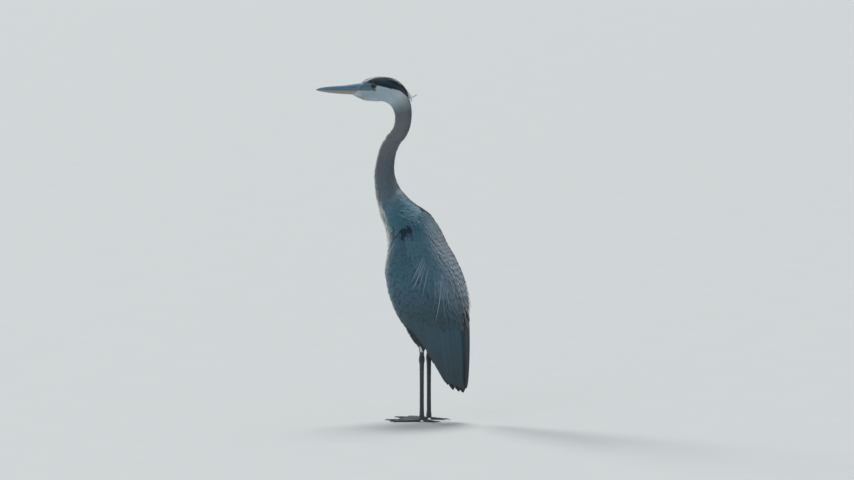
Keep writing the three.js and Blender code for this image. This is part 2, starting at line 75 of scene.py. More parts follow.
NECK_POWER, TRUNK_POWER, PLUMAGE_POWER, BILL_POWER = 2.2, 2.3, 2.6, 1.9

# Head and neck from the chin over the nape into the breast: x, z, half depth on the back and the front, half
# breadth, and the degrees that the section is turned.
HEAD_NECK = np.array([
    (-217, 944.5, 3, 3, 4, 15), (-207, 947, 8, 8.5, 9.5, 15), (-193.5, 953, 19, 18.5, 14, 15),
    (-182.5, 956, 24.5, 25, 16.5, 15), (-169.5, 959, 31.5, 31.5, 19.5, 15), (-155.5, 961, 34, 35, 21.5, 15),
    (-135.5, 962, 36.3, 36.5, 25, 15), (-113.5, 957, 39, 34, 27, 15), (-93, 945, 35, 32, 26.5, 15),
    (-77, 924, 30, 28, 23.5, 15), (-67.5, 893, 25.5, 25.5, 20.5, 12), (-69, 861, 24, 24, 19.5, 6),
    (-78.7, 836, 23.2, 23.2, 19, 0), (-97, 813.5, 23.8, 23.8, 19.5, 0), (-113.3, 784, 25.8, 25.8, 21, 0),
    (-122, 749, 27.3, 27.3, 23, 0), (-125, 711, 30.7, 30.7, 26, 0), (-119, 676, 35.5, 35, 30, 0),
    (-108.5, 644.5, 42, 40, 37, 0), (-91, 607, 48, 45, 43, 0), (-75, 567, 44, 41, 47, 0),
    (-65, 524, 38, 34, 45, 0),
])
# Level sections of the trunk: z, x, half depth and half breadth.
TRUNK = np.array([
    (600, -31, 5, 5), (596, -31, 20, 18), (585, -31, 33, 30), (565, -31, 48, 48), (530, -27, 63, 57),
    (480, -19, 84, 66), (430, -10, 97, 69), (380, 0.5, 100, 67), (330, 12, 96, 60), (290, 24, 81, 47),
    (260, 36, 64, 40), (235, 56, 42, 32), (222, 65, 25, 22), (215, 70, 7, 7),
])
# The same for the plumage that the folded wings wrap round the trunk, with how far round the long shoulder
# feathers and the wing come, in degrees.
PLUMAGE = np.array([
    (632, -60, 3, 6, 170, 90), (627, -52, 12, 14, 150, 90), (622, -45, 17, 20, 135, 90),
    (616, -39, 21, 25, 125, 90), (609, -31, 28, 33, 118, 90), (597, -29, 41, 46, 110, 90),
    (579, -29, 52, 61, 104, 95), (553, -25, 65, 70, 97, 118), (513, -20.5, 80.5, 79, 90, 140),
    (469, -12.8, 100, 84, 84, 152), (417, -2.4, 113, 87, 76, 153), (349, 13.3, 114, 84, 68, 152),
    (283, 34.3, 98.6, 73, 60, 150), (216, 66.8, 67.2, 57, 60, 148), (164, 81.7, 51.7, 43, 60, 150),
    (110, 96.8, 33.3, 28, 60, 150), (80, 107.5, 12.7, 11, 60, 150),
])
CAPE, WING = 4, 5  # columns of PLUMAGE
# Half sizes of the bill: distance from its tip, height of the upper and lower half, half breadth.
BILL = np.array([
    (0, 0.9, 0.8, 0.8), (6, 3, 2.4, 1.9), (16, 5.9, 4.8, 3.4), (36, 9, 7.8, 5.2), (60, 11.3, 10.2, 6.9),
    (85, 13.4, 11.6, 8.6), (107, 16.4, 12.8, 10.2), (127, 19.6, 14, 11.8), (142, 21, 15, 12.6),
])
LIP = 0.35  # each half of the bill stops this far from the gape line

# Limbs: x, y on the left side measured outwards, z and radius.
THIGH = np.array([
    (-30, 32, 335, 24), (-27, 33, 292, 26), (-11, 33, 250, 20), (1, 31, 222, 12), (1, 30, 204, 7.5),
])
LEG = np.array([
    (1, 30, 226, 4.6), (1, 30, 203.5, 4.9), (1, 30, HOCK_Z + 13, 5.1), (1, 30, HOCK_Z + 5, 6.3),
    (1, 30, HOCK_Z - 5, 6.4), (1, 30, HOCK_Z - 13, 5.2), (1, 30, 140, 4.8), (1, 30, 100, 4.6),
    (1, 30, 60, 4.65), (1, 30, ANKLE_Z + 9, 5), (1, 30, ANKLE_Z, 5.8), (1, 30, ANKLE_Z - 7, 5.8),
    (1, 30, 4.5, 4.8),
])
BIB = np.array([
    (-119, 0, 590, 15), (-107, 0, 548, 25), (-99, 0, 515, 23), (-101, 0, 475, 15), (-103, 0, 438, 3),
])
UNDER_TAIL = np.array([(52, 0, 236, 22), (66, 0, 205, 20), (82, 0, 172, 13), (96, 0, 140, 3)])
BIB_FLATNESS, UNDER_TAIL_FLATNESS = 0.36, 0.6

# Toes: length without the claw, degrees turned outwards, pads and claw length.
TOES = {
    "inner": (68, -18, 3, 12), "middle": (92, 5, 4, 14), "outer": (76, 30, 5, 12), "hind": (40, 172, 2, 18),
}
SIDES = {"left": 1, "right": -1}


# ---------------------------------------------------------------- surfaces
def along(stations, u):
    """The rows of a table of stations at u, on a uniform Catmull-Rom curve; u counts stations."""
    u = np.asarray(u, float)
    i = np.clip(np.floor(u).astype(int), 0, len(stations) - 2)
    t = (u - i)[..., None]
    ends = np.vstack([2 * stations[0] - stations[1], stations, 2 * stations[-1] - stations[-2]])
    p0, p1, p2, p3 = (ends[i + k] for k in range(4))
    slope = (p2 - p0) / 2
    bend = 2 * (p1 - p2) + slope + (p3 - p1) / 2
    return p1 + slope * t + (p2 - p1 - slope - bend) * t**2 + bend * t**3


def swell(value, power):
    """The cosine or sine of an angle as that of an oval that is squarer as power grows."""
    return np.sign(value) * np.abs(value) ** (2 / power)


def unit(vectors):
    return vectors / np.maximum(np.linalg.norm(vectors, axis=-1, keepdims=True), 1e-9)


def from_back(degrees):
    """Degrees from the middle of the back, on either side."""
    return np.abs((np.asarray(degrees) + 180) % 360 - 180)


def turned(points, degrees, pivot=NAPE_X):
    """Points or directions of the straight head, turned to where the head looks."""
    angle = np.radians(degrees)
    x, y, z = np.moveaxis(np.asarray(points, float), -1, 0)
    c, s = np.cos(angle), np.sin(angle)
    return np.stack([pivot + (x - pivot) * c - y * s, (x - pivot) * s + y * c, z + 0 * c], -1)


def oval(centre, left, dorsal, side, back, front, power, degrees):
    """Points of an oval section, at angles from the middle of its back towards its left."""
    angle = np.radians(degrees)
    deep = swell(np.cos(angle), power) * np.where(np.cos(angle) > 0, back, front)
    across = swell(np.sin(angle), power) * side
    return centre + left * across[..., None] + dorsal * deep[..., None]


STEP = 0.02  # of a station, over which the direction of a line is taken


def across_line(tangent, left):
    """Directions to the left and the back of a line."""
    left = unit(left - tangent * np.sum(left * tangent, -1, keepdims=True))
    return left, np.cross(left, tangent)


def neck_spot(u):
    """The middle of the neck."""
    row = along(HEAD_NECK, u)
    return turned(np.stack([row[..., 0], 0 * row[..., 0], row[..., 1]], -1), row[..., 5])


def neck_point(u, degrees):
    row = along(HEAD_NECK, u)
    tangent = unit(neck_spot(u + STEP) - neck_spot(u - STEP))
    left, dorsal = across_line(tangent, turned(np.broadcast_to(LEFT, tangent.shape), row[..., 5], 0))
    return oval(neck_spot(u), left, dorsal, row[..., 4], row[..., 2], row[..., 3], NECK_POWER, degrees)


def level_point(stations, power):
    """Level sections of the trunk or of the plumage round it."""

    def point(u, degrees):
        row = along(stations, u)
        z, x, deep, side = (row[..., k] for k in range(4))
        centre = np.stack([x, 0 * x, z], -1)
        return oval(centre, LEFT, BACKWARDS, side, deep, deep, power, degrees)

    return point


def limb_point(stations, sign=1, depth=1.0):
    """Oval sections across a smooth line through stations; depth is theirs from front to back, next to their
    breadth."""

    def spot(u):
        return along(stations, u)[..., :3] * (1, -sign, 1)

    def point(u, degrees):
        radius = along(stations, u)[..., 3]
        tangent = unit(spot(u + STEP) - spot(u - STEP))
        left, dorsal = across_line(tangent, np.broadcast_to(LEFT, tangent.shape))
        deep = radius * depth
        return oval(spot(u), left, dorsal, radius, deep, deep, 2, degrees)

    return point


def toe_way(sign, turn):
    """The direction of a toe that is turned outwards."""
    angle = radians(turn * sign)
    return np.array((-cos(angle), -sin(angle), 0.0))


def toe_point(sign, length, turn, pads):
    """A toe swells at each pad and narrows between them. u runs from 0 at its root to 1 at its claw."""
    way = toe_way(sign, turn)
    left = np.array((-way[1], way[0], 0.0))

    def point(u, degrees):
        core = TOE_PAD + (2.9 - TOE_PAD) * u
        radius = core * (1 - 0.13 * (0.5 + 0.5 * np.cos(2 * pi * pads * u)))
        centre = np.array((LEG_X, -sign * LEG_SPREAD, 0.0)) + way * (TOE_ROOT + u * length)[..., None]
        centre[..., 2] = core - SOLE_CUT
        return oval(centre, left, UP, radius, radius, radius, 2, degrees)

    return point


def bill_point(is_upper):
    """u counts the stations of the bill from its tip."""

    def point(u, degrees):
        row = along(BILL, u)
        height = row[..., 1] if is_upper else row[..., 2]
        low = 0 * height + LIP
        line = GAPE_Z + (1.4 if is_upper else -1.4) * LIP
        centre = np.stack([BILL_TIP_X + row[..., 0], 0 * height, 0 * height + line], -1)
        back, front = (height, low) if is_upper else (low, height)
        round_it = bill_relief(row[..., 0], degrees, is_upper)
        side, back, front = row[..., 3] - round_it, back - 0.4 * round_it, front - 0.4 * round_it
        return turned(oval(centre, LEFT, UP, side, back, front, BILL_POWER, degrees), HEAD_TURN)

    return point


def bump_at(value, middle, width):
    """1 at the middle and a soft fall on both sides."""
    return np.exp(-(((value - middle) / width) ** 2))


def smooth(value, low, high):
    """0 below low, 1 above high and an S curve between."""
    t = np.clip((np.asarray(value, float) - low) / (high - low), 0, 1)
    return t * t * (3 - 2 * t)


def bill_relief(away, degrees, is_upper):
    """Millimetres that the side of the bill is taken in, by its nasal groove and slit or the jaw's groove."""
    side = from_back(degrees)
    if is_upper:
        groove = 0.9 * bump_at(side, 66, 9) * smooth(away, 40, 75) * (1 - smooth(away, 118, 134))
        slit = 1.9 * bump_at(side, 64, 3.2) * smooth(away, 99, 103) * (1 - smooth(away, 114, 118))
        return groove + slit
    return 0.6 * bump_at(side, 118, 9) * smooth(away, 55, 90)


class Surface:
    """A surface tabulated with its outward normals, so that many points are read from it at once. Its angle a
    grows evenly with the way round each section."""

    COLUMNS = 180

    def __init__(self, name, point, last, rows):
        self.name, self.last = name, last
        self.stations = np.linspace(0, last, rows)
        self.angles = np.linspace(-180, 180, 4 * self.COLUMNS + 1)
        ring = point(*np.meshgrid(self.stations, self.angles, indexing="ij"))
        steps = np.linalg.norm(np.diff(ring, axis=1), axis=-1)
        way = np.concatenate([np.zeros((rows, 1)), np.cumsum(steps, 1)], 1)
        self.turns = way / way[:, -1:] * 360 - 180
        self.per_degree = way[:, -1] / 360
        even = np.linspace(-180, 180, self.COLUMNS + 1)
        pairs = zip(self.turns, ring)
        place = [[np.interp(even, turns, line) for line in points.T] for turns, points in pairs]
        place = np.array(place).transpose(0, 2, 1)
        by_u = np.gradient(place, self.stations, axis=0)
        by_a = np.roll(place[:, :-1], -1, 1) - np.roll(place[:, :-1], 1, 1)
        by_a = np.concatenate([by_a, by_a[:, :1]], 1)
        normal = unit(np.cross(by_a, by_u))
        middle = place[:, :-1].mean(1, keepdims=True)
        if np.median(np.sum(normal * (place - middle), -1)) < 0:
            normal = -normal
        per_u = np.linalg.norm(by_u, axis=-1, keepdims=True)
        self.table = np.concatenate([place, normal, per_u], -1)
        lengths = np.linalg.norm(np.diff(middle[:, 0], axis=0), axis=-1)
        self.run = np.concatenate([[0], np.cumsum(lengths)])

    def read(self, u, a):
        """Rows of place, normal and millimetres for each unit of u."""
        row = np.asarray(u, float) / self.last * (len(self.stations) - 1)
        column = ((np.asarray(a, float) + 180) % 360) / 360 * self.COLUMNS
        i = np.clip(np.floor(row).astype(int), 0, len(self.stations) - 2)
        j = np.clip(np.floor(column).astype(int), 0, self.COLUMNS - 1)
        s, t = np.clip(row - i, 0, 1)[..., None], (column - j)[..., None]
        low = self.table[i, j] * (1 - t) + self.table[i, j + 1] * t
        high = self.table[i + 1, j] * (1 - t) + self.table[i + 1, j + 1] * t
        return low * (1 - s) + high * s

    def at(self, u, a, out=0.0):
        """Points a number of millimetres outside the surface."""
        row = self.read(u, a)
        return row[..., :3] + unit(row[..., 3:6]) * np.asarray(out, float)[..., None]

    def ahead(self, u, a, distance):
        """The station a number of millimetres further along the surface."""
        rate = np.interp(u, self.stations, np.gradient(self.run, self.stations))
        stretch = np.maximum(self.read(u, a)[..., 6] / np.maximum(rate, 1e-6), 0.4)
        return np.interp(np.interp(u, self.stations, self.run) + distance / stretch, self.run, self.stations)

    def round_at(self, u):
        """Millimetres for each degree round the section at u."""
        return np.maximum(np.interp(u, self.stations, self.per_degree), 0.01)

    def even(self, u, angle):
        """The even angle of an angle of the section's own curve."""
        row = np.rint(np.asarray(u, float) / self.last * (len(self.stations) - 1)).astype(int)
        column = np.rint((np.asarray(angle, float) + 180) / 360 * 4 * self.COLUMNS).astype(int)
        return self.turns[np.clip(row, 0, len(self.stations) - 1), np.clip(column, 0, 4 * self.COLUMNS)]

    def spread(self, u, a):
        """Where a point stands on the unwrapped surface, both from 0 to 1."""
        down = np.interp(u, self.stations, self.run) / self.run[-1]
        return np.stack([(np.asarray(a, float) + 180) % 360 / 360, down + 0 * np.asarray(a, float)], -1)


NECK = Surface("neck", neck_point, 21, 500)
BODY = Surface("body", level_point(TRUNK, TRUNK_POWER), 13, 300)
WINGS = Surface("wings", level_point(PLUMAGE, PLUMAGE_POWER), 16, 400)


# The slope of feathers from the neck over the shoulders: degrees round the neck, the station of the neck
# where it starts, and the station and degrees of the folded wings where it ends.
SKIRT = np.array([
    (0, 17.3, 3.6, 0), (30, 17.4, 4.3, 22), (60, 17.8, 5.2, 60), (90, 18.2, 6.15, 92),
    (120, 18.6, 7.3, 120), (150, 19.0, 8.6, 148), (180, 19.3, 9.2, 180),
])


def skirt_ends(a):
    """Where the slope starts and ends at an angle, as in SKIRT."""
    side = from_back(a)
    return [np.interp(side, SKIRT[:, 0], SKIRT[:, k]) for k in (1, 2, 3)]


def skirt_point(u, degrees):
    """A curve that leaves the neck along its lie and comes down along the wing's; u runs from 0 to 1."""
    start, end, side = skirt_ends(degrees)
    turn = side * np.where((np.asarray(degrees) + 180) % 360 > 180, 1, -1)
    step = 0.05
    first, last = NECK.at(start, degrees), WINGS.at(end, turn)
    leaving = unit(NECK.at(start + step, degrees) - first)
    landing = unit(last - WINGS.at(end - step, turn))
    reach = 0.36 * np.linalg.norm(last - first, axis=-1, keepdims=True)
    t = np.asarray(u, float)[..., None]
    points = (first, first + leaving * reach, last - landing * reach, last)
    shares = ((1 - t) ** 3, 3 * t * (1 - t) ** 2, 3 * t**2 * (1 - t), t**3)
    return sum(point * share for point, share in zip(points, shares))


SLOPE = Surface("slope", skirt_point, 1, 60)
THIGHS = {side: Surface(f"thigh_{side}", limb_point(THIGH, sign), 4, 80) for side, sign in SIDES.items()}
LEGS = {
    side: Surface(f"leg_{side}", limb_point(LEG, sign, LEG_DEPTH), 12, 200) for side, sign in SIDES.items()
}
BREAST = Surface("breast", limb_point(BIB, 1, BIB_FLATNESS), 4, 120)
CHIN = Surface("chin", bill_point(False), 8, 200)
VENT = Surface("vent", limb_point(UNDER_TAIL, 1, UNDER_TAIL_FLATNESS), 3, 100)
FEET = {
    (side, toe): Surface(f"toe_{toe}_{side}", toe_point(sign, length, turn, pads), 1, 90)
    for side, sign in SIDES.items()
    for toe, (length, turn, pads, _) in TOES.items()
}

# Where each surface lies on the unwrap of the whole skin: left, low, width and height.
ATLAS = {
    "neck": (0.01, 0.01, 0.32, 0.98),
    "body": (0.34, 0.51, 0.32, 0.48),
    "wings": (0.34, 0.01, 0.65, 0.48),
    "breast": (0.67, 0.76, 0.15, 0.23),
    "vent": (0.83, 0.82, 0.16, 0.17),
    "chin": (0.83, 0.76, 0.16, 0.05),
    "thigh_left": (0.67, 0.61, 0.15, 0.14),
    "thigh_right": (0.83, 0.61, 0.16, 0.14),
    "leg_left": (0.67, 0.51, 0.05, 0.09),
    "leg_right": (0.73, 0.51, 0.05, 0.09),
}
for column, key in enumerate(FEET):
    ATLAS[FEET[key].name] = (0.79 + 0.025 * column, 0.51, 0.023, 0.09)


def level_of(stations, z):
    """The u at which level sections reach a height."""
    u = np.linspace(0, len(stations) - 1, 2000)
    return float(np.interp(-z, -along(stations, u)[:, 0], u))


def on_atlas(surface, u, a):
    """Where a point of a surface lies on the unwrap. The slope shares the place of the neck."""
    if surface is SLOPE:
        start = skirt_ends(a)[0]
        surface, u = NECK, start + (20.9 - start) * u
    left, low, width, height = ATLAS[surface.name]
    return surface.spread(u, a) * (width, height) + (left, low)


def placed(points):
    """Millimetres of the bird as metres of the frame."""
    return (np.asarray(points) + (BIRD_X, 0, 0)) * MM


def straight(points):
    """Points of the turned head as x, y and z on the straight one."""
    return np.moveaxis(turned(points, -HEAD_TURN), -1, 0)


# ---------------------------------------------------------------- colours and markings
def linear(code):
    """A hex colour as the linear red, green and blue that Blender mixes."""
    parts = [(code >> shift & 255) / 255 for shift in (16, 8, 0)]
    return tuple(round(p / 12.92 if p <= 0.04045 else ((p + 0.055) / 1.055) ** 2.4, 4) for p in parts)


def colour(name, code, note):
    """A colour that the panel shows."""
    shown = {"subtype": "COLOR", "size": 3, "min": 0, "max": 1}
    return FloatVectorProperty(name=name, description=note, default=linear(code), **shown)


def number(name, default, note, **kind):
    """A number that the panel shows."""
    return FloatProperty(name=name, description=note, default=default, **kind)


def metres(name, default, note):
    """A length that the panel shows."""
    return number(name, default, note, unit="LENGTH")


class HeronColours(bpy.types.PropertyGroup):
    """Colours of the plumage and bare parts."""

    slate: colour("Slate", 0x466A7B, "Blue-grey of the folded wings")
    low_slate: colour("Low Slate", 0x3D4C53, "Darker grey of the lower wing")
    dorsal: colour("Back", 0x76828E, "Paler grey of the middle of the back")
    neck: colour("Neck", 0x667079, "Grey of the neck, faintly brown")
    neck_base: colour("Neck Base", 0x587A8C, "Blue-grey where the neck meets the shoulders")
    white: colour("White", 0xCDD2D4, "White of the crown, face and foreneck")
    cheek: colour("Cheek", 0xB6C6CE, "Greyish white of the cheek")
    warm: colour("Warm White", 0xC2BAB0, "Faintly rusty white of the plumes of the lower foreneck")
    black: colour("Black", 0x052838, "Black of the crown stripes, shoulder patch and belly sides")
    plume: colour("Plume", 0x8B9DA8, "Pale grey of the long narrow plumes")
    flight: colour("Flight Feathers", 0x3A4850, "Dark grey of the secondaries and tail")
    primary: colour("Primaries", 0x1B2830, "Blackish grey of the primaries")
    chestnut: colour("Chestnut", 0x7A5442, "Red-brown of the thighs and the bend of the wing")
    bare: colour("Lores", 0x587484, "Blue-grey bare skin between eye and bill")
    # The eyelids' colour is partly their own dark edge and partly painted shade of the lids.
    lid: colour("Eyelid", 0x2B353B, "Dark edge of the eyelids")
    leg: colour("Legs", 0x53545B, "Dark olive grey of legs and toes")
    bill_top: colour("Upper Bill", 0x507186, "Blue-grey of the upper half of the bill")
    bill_low: colour("Lower Bill", 0x978E87, "Dull horn yellow of the lower half of the bill")
    iris: colour("Iris", 0x5C5833, "Yellow of the eye")
    claw: colour("Claws", 0x1F1D1B, "Black horn of the claws")
    floor: colour("Floor", 0x9DA0A2, "Pale floor of the stage")


class HeronSizes(bpy.types.PropertyGroup):
    """Sizes that shape the coat and the skin under it."""

    head_coat: metres("Head Coat", 0.0022, "Depth of the feathers of the head")
    neck_coat: metres("Neck Coat", 0.0042, "Depth of the feathers of the neck")
    body_coat: metres("Body Coat", 0.005, "Depth of the feathers of the body")
    wing_coat: metres("Wing Coat", 0.009, "Depth of the wing coverts")
    skin_grain: metres("Skin Grain", 0.0034, "Size of the faces of the skin")
    foot_grain: metres("Foot Grain", 0.0014, "Size of the faces of the legs")
    vane: metres("Vane Thickness", 0.00035, "Thickness of a feather at its shaft")


def coat_size(name):
    """One of the sizes, in millimetres."""
    return getattr(bpy.context.scene.heron_sizes, name) / MM


def colours():
    """The colours as arrays, ready for mixing."""
    group = bpy.context.scene.heron_colours
    return {name: np.array(getattr(group, name)) for name in HeronColours.__annotations__}


def mixed(first, second, share):
    return first + (second - first) * np.asarray(share, float)[..., None]


# Edges of the black stripe of the head: station along the head, then degrees from the middle of the crown.
STRIPE = np.array([
    (4.0, 37, 42), (4.4, 32, 48), (4.8, 26, 54), (5.3, 20, 62), (5.7, 17, 69), (6.5, 12, 76), (7.3, 12, 74),
    (7.7, 9, 64), (8.15, 5, 49), (8.6, -3, 38), (9.15, -3, 16),
])


def stripe(u, side):
    """1 inside the black stripe that runs from the eye to the nape."""
    top = np.interp(u, STRIPE[:, 0], STRIPE[:, 1])
    low = np.interp(u, STRIPE[:, 0], STRIPE[:, 2])
    inside = smooth(side, top - 2, top + 2) * (1 - smooth(side, low - 2, low + 2))
    return inside * smooth(u, 3.95, 4.1) * (1 - smooth(u, 9.05, 9.25))


# Spans over which the colours of the head and neck change, in stations of the neck.
FACE_ENDS, THROAT_STARTS, WARM_STARTS, WARM_ENDS = (8.2, 10.2), (8, 9.5), (9, 11), (13, 15.5)
BIB_STARTS, BIB_WARMS, BLUE_BASE = (14, 17.5), (16, 17.5), (16.6, 19.4)
# The same round the neck, in degrees from the middle of its back.
BLUE_SIDES, CHEEK, THROAT = (115, 145), (62, 95), (153, 166)
# Edge of the loose bib: stations and degrees.
BIB_EDGE = ((14, 16.5, 18.2, 19.9), (165, 150, 129, 110))


def neck_tone(u, a, rng):
    """Colours of the head and neck: white crown and face, black stripes, grey neck and streaked foreneck."""
    c = colours()
    side = from_back(a)
    chance = rng.random(np.shape(u))
    tone = mixed(c["neck"], 0.93 * c["neck_base"], smooth(u, *BLUE_BASE) * (1 - smooth(side, *BLUE_SIDES)))
    tone = mixed(tone, c["warm"], smooth(u, *WARM_STARTS) * (1 - smooth(u, *WARM_ENDS)) * 0.12)
    face = mixed(c["white"], c["cheek"], smooth(side, *CHEEK))
    tone = mixed(face, tone, smooth(u, *FACE_ENDS))
    tone = mixed(tone, c["black"], stripe(u, side))
    throat = smooth(side, *THROAT) * smooth(u, *THROAT_STARTS)
    dark_line = bump_at(side, 165, 6) * (chance > 0.45)
    front = mixed(mixed(c["white"], c["warm"], 0.4), c["black"], dark_line * 0.8)
    edge = np.interp(u, *BIB_EDGE) + 30 * (rng.random(np.shape(u)) - 0.5)
    bib = smooth(u, *BIB_STARTS) * smooth(side, edge - 12, edge + 12)
    front = mixed(front, mixed(c["warm"], c["neck"], chance * 0.45), smooth(u, *BIB_WARMS) * (chance < 0.8))
    return mixed(tone, front, np.maximum(throat * 0.95, bib * 0.9))


# Black patch at the bend of the wing, as round lobes: x, z, radius and strength.
PATCH_LOBES = (
    (-27, 558, 11.5, 1), (-43, 558, 10, 1), (-37, 548, 10, 1), (-42, 539, 6, 1), (-54, 561, 6, 1),
    (-12, 537, 4, 0.4),
)
# Darkening of the top of the shoulders and of the slope over them, stronger in red than in green and blue:
# painted shade.
SHOULDER_SHADE = np.array((0.5, 0.79, 0.81))
# Heights over which the colours of the folded wings change, and spans round them in degrees from the back.
SLATE_FADE, BASE_FADE, SHOULDER_SHADE_FADE, SHOULDER_SHADE_SIDES = (270, 440), (480, 575), (510, 575), (12, 45)
BACK_SIDES, BACK_START, BACK_END, BACK_SHADE_END = (30, 62), (290, 400), (540, 600), (300, 345)
BEND_SIDES, BEND_START, BEND_END = (112, 122), (505, 530), (560, 575)
BACK_SHADE_EDGE = 19  # degrees round the wing from the middle of the back that the painted shade of the dark inner edge reaches


def wing_tone(u, a, rng):
    """Colours of the back and folded wings, with painted shade on the top of the shoulders and along the
    inner edge at the middle of the back.
    """
    c = colours()
    side = from_back(a)
    place = WINGS.read(u, a)
    x, z = place[..., 0], place[..., 2]
    chance = rng.random(np.shape(u))
    tone = mixed(c["low_slate"], c["slate"], smooth(z, *SLATE_FADE))
    tone = mixed(tone, c["neck_base"], 0.6 * smooth(z, *BASE_FADE))
    # Painted shade on the top of the shoulders.
    tone = mixed(tone, c["slate"] * SHOULDER_SHADE, smooth(z, *SHOULDER_SHADE_FADE) * smooth(side, *SHOULDER_SHADE_SIDES))
    back = (1 - smooth(side, *BACK_SIDES)) * smooth(z, *BACK_START) * (1 - smooth(z, *BACK_END))
    tone = mixed(tone, c["dorsal"], 0.8 * back)
    # Painted shade: the inner edge at the middle of the back is darkened to the primaries' colour, for the
    # shaded gap between the wings.
    edge = (1 - smooth(side, BACK_SHADE_EDGE - 6, BACK_SHADE_EDGE + 2)) * (1 - smooth(z, *BACK_SHADE_END))
    tone = mixed(tone, c["primary"], edge)
    for lobe_x, lobe_z, radius, strength in PATCH_LOBES:
        away = np.hypot(x - lobe_x, z - lobe_z) / radius
        tone = mixed(tone, c["black"], strength * (1 - smooth(away, 0.8, 1.15)))
    tone = mixed(tone, c["plume"], bump_at(x, 84, 16) * bump_at(z, 405, 30) * (chance > 0.5) * 0.5)
    bend = smooth(side, *BEND_SIDES) * smooth(z, *BEND_START) * (1 - smooth(z, *BEND_END))
    return mixed(tone, c["chestnut"], bend * (chance < 0.2) * 0.3)


def body_tone(u, a, rng):
    """Colours of the breast, belly and vent."""
    c = colours()
    side = from_back(a)
    z = along(TRUNK, u)[..., 0]
    tone = mixed(c["slate"], c["black"], smooth(side, 120, 140) * (1 - smooth(z, 470, 540)))
    streak = rng.random(np.shape(u))
    white = smooth(side, 158, 170) * (1 - smooth(z, 520, 560))
    tone = mixed(tone, c["white"], white * (streak > 0.3))
    return mixed(tone, c["white"], 1 - smooth(z, 235, 265))


def bib_tone(u, a, rng):
    """Colours of the loose plumes of the foreneck."""
    c = colours()
    chance = rng.random(np.shape(u))
    tone = mixed(c["warm"], c["white"], chance)
    return mixed(tone, c["neck"], (chance > 0.88) * 0.7)


def chin_tone(u, a, rng):
    """Colours of the chin: white that varies towards the grey of the cheek."""
    c = colours()
    return mixed(c["white"], c["cheek"], 0.6 * rng.random(np.shape(u)))


HOCK_U = 3.5  # station of the hock down the leg


def leg_tone(u, a, rng):
    """Colours of the scaled legs, darker at the hock."""
    c = colours()
    tone = mixed(c["leg"], c["low_slate"], 0.25 * rng.random(np.shape(u)))
    return tone * (1 - 0.25 * bump_at(u, HOCK_U, 1.5) * (np.asarray(u) > 1))[..., None]


def thigh_tone(u, a, rng, inwards=-90):
    """Slate outer thighs, rusty on the inner side and black in front, the black partly the flanks' own and
    partly painted shade under the wing.
    """
    c = colours()
    side = from_back(a)
    inner = 1 - smooth(from_back(np.asarray(a) - inwards), 60, 110)
    rust = 0.2 * rng.random(np.shape(u)) + (0.15 + 0.5 * inner) * smooth(u, 2.0, 3.0)
    tone = mixed(0.75 * c["low_slate"], c["chestnut"], rust)
    # The front of the upper thigh is black: partly the black of the flanks, partly painted shade under the
    # folded wing.
    tone = mixed(tone, c["black"], 0.8 * smooth(side, 90, 130) * (1 - smooth(u, 1.6, 2.6)))
    return mixed(tone, c["leg"], smooth(u, 3.3, 3.9))


TONES = {"neck": neck_tone, "body": body_tone, "wings": wing_tone, "chin": chin_tone}


def tone_ahead(surface, u, a, length, rng):
    """Tones of feathers where they show, which is past the roots of the next rows."""
    return tone_of(surface, surface.ahead(u, a, 0.7 * length), a, rng)


def tone_of(surface, u, a, rng):
    """Colours at places of a surface."""
    if surface.name in TONES:
        return TONES[surface.name](u, a, rng)
    if surface.name.startswith("thigh"):
        return thigh_tone(u, a, rng, 90 if surface.name.endswith("right") else -90)
    return leg_tone(u, a, rng)


# ---------------------------------------------------------------- bare and open places of the head
LID_REACH = 8.6  # from the middle of the eye to where feathers begin


def eye_distance(points):
    """Millimetres from the axis of the eye, seen from the side of the straight head."""
    x, _, z = straight(points)
    return np.hypot(x - EYE_X, z - EYE_Z)


def bareness(points):
    """1 on the bare skin between eye and bill, 0 on feathered skin."""
    x, y, z = straight(points)
    top = np.interp(x, (-215, -196, -178, -164, -157, -151, -141), (976, 979, 982, 981, 978, 966, 959))
    low = np.interp(x, (-215, -190, -165, -150, -141), (957, 957.5, 957.5, 956, 957))
    wave = 0.9 * np.sin(0.9 * x) + 0.7 * np.sin(0.37 * x + 2)
    strip = smooth(z, low - 1 + 0.4 * wave, low + 1) * (1 - smooth(z, top - 1.5 + wave, top + 1.5 + wave))
    return strip * (1 - smooth(x, -147, -141)) * smooth(np.abs(y), 3, 5)


def lore_streaks(points):
    """Uneven shade of the bare skin, drawn out from the nostril to the eye."""
    x, _, z = straight(points)
    rise = z - 0.16 * (x + 180)
    fine = np.sin(1.7 * rise + 1.2 * np.sin(0.21 * x)) + 0.7 * np.sin(3.1 * rise + 0.3 * x)
    line = bump_at(rise, 969, 1.1) * smooth(x, -200, -192) * (1 - smooth(x, -166, -160))
    return 1 + 0.24 * fine - 0.6 * line


def gape_line(points):
    """1 along the corner of the mouth, which runs back under the eye."""
    x, _, z = straight(points)
    line = GAPE_Z - 0.06 * np.maximum(x + 185, 0)
    return bump_at(z, line, 0.8) * (1 - smooth(x, -166, -158))


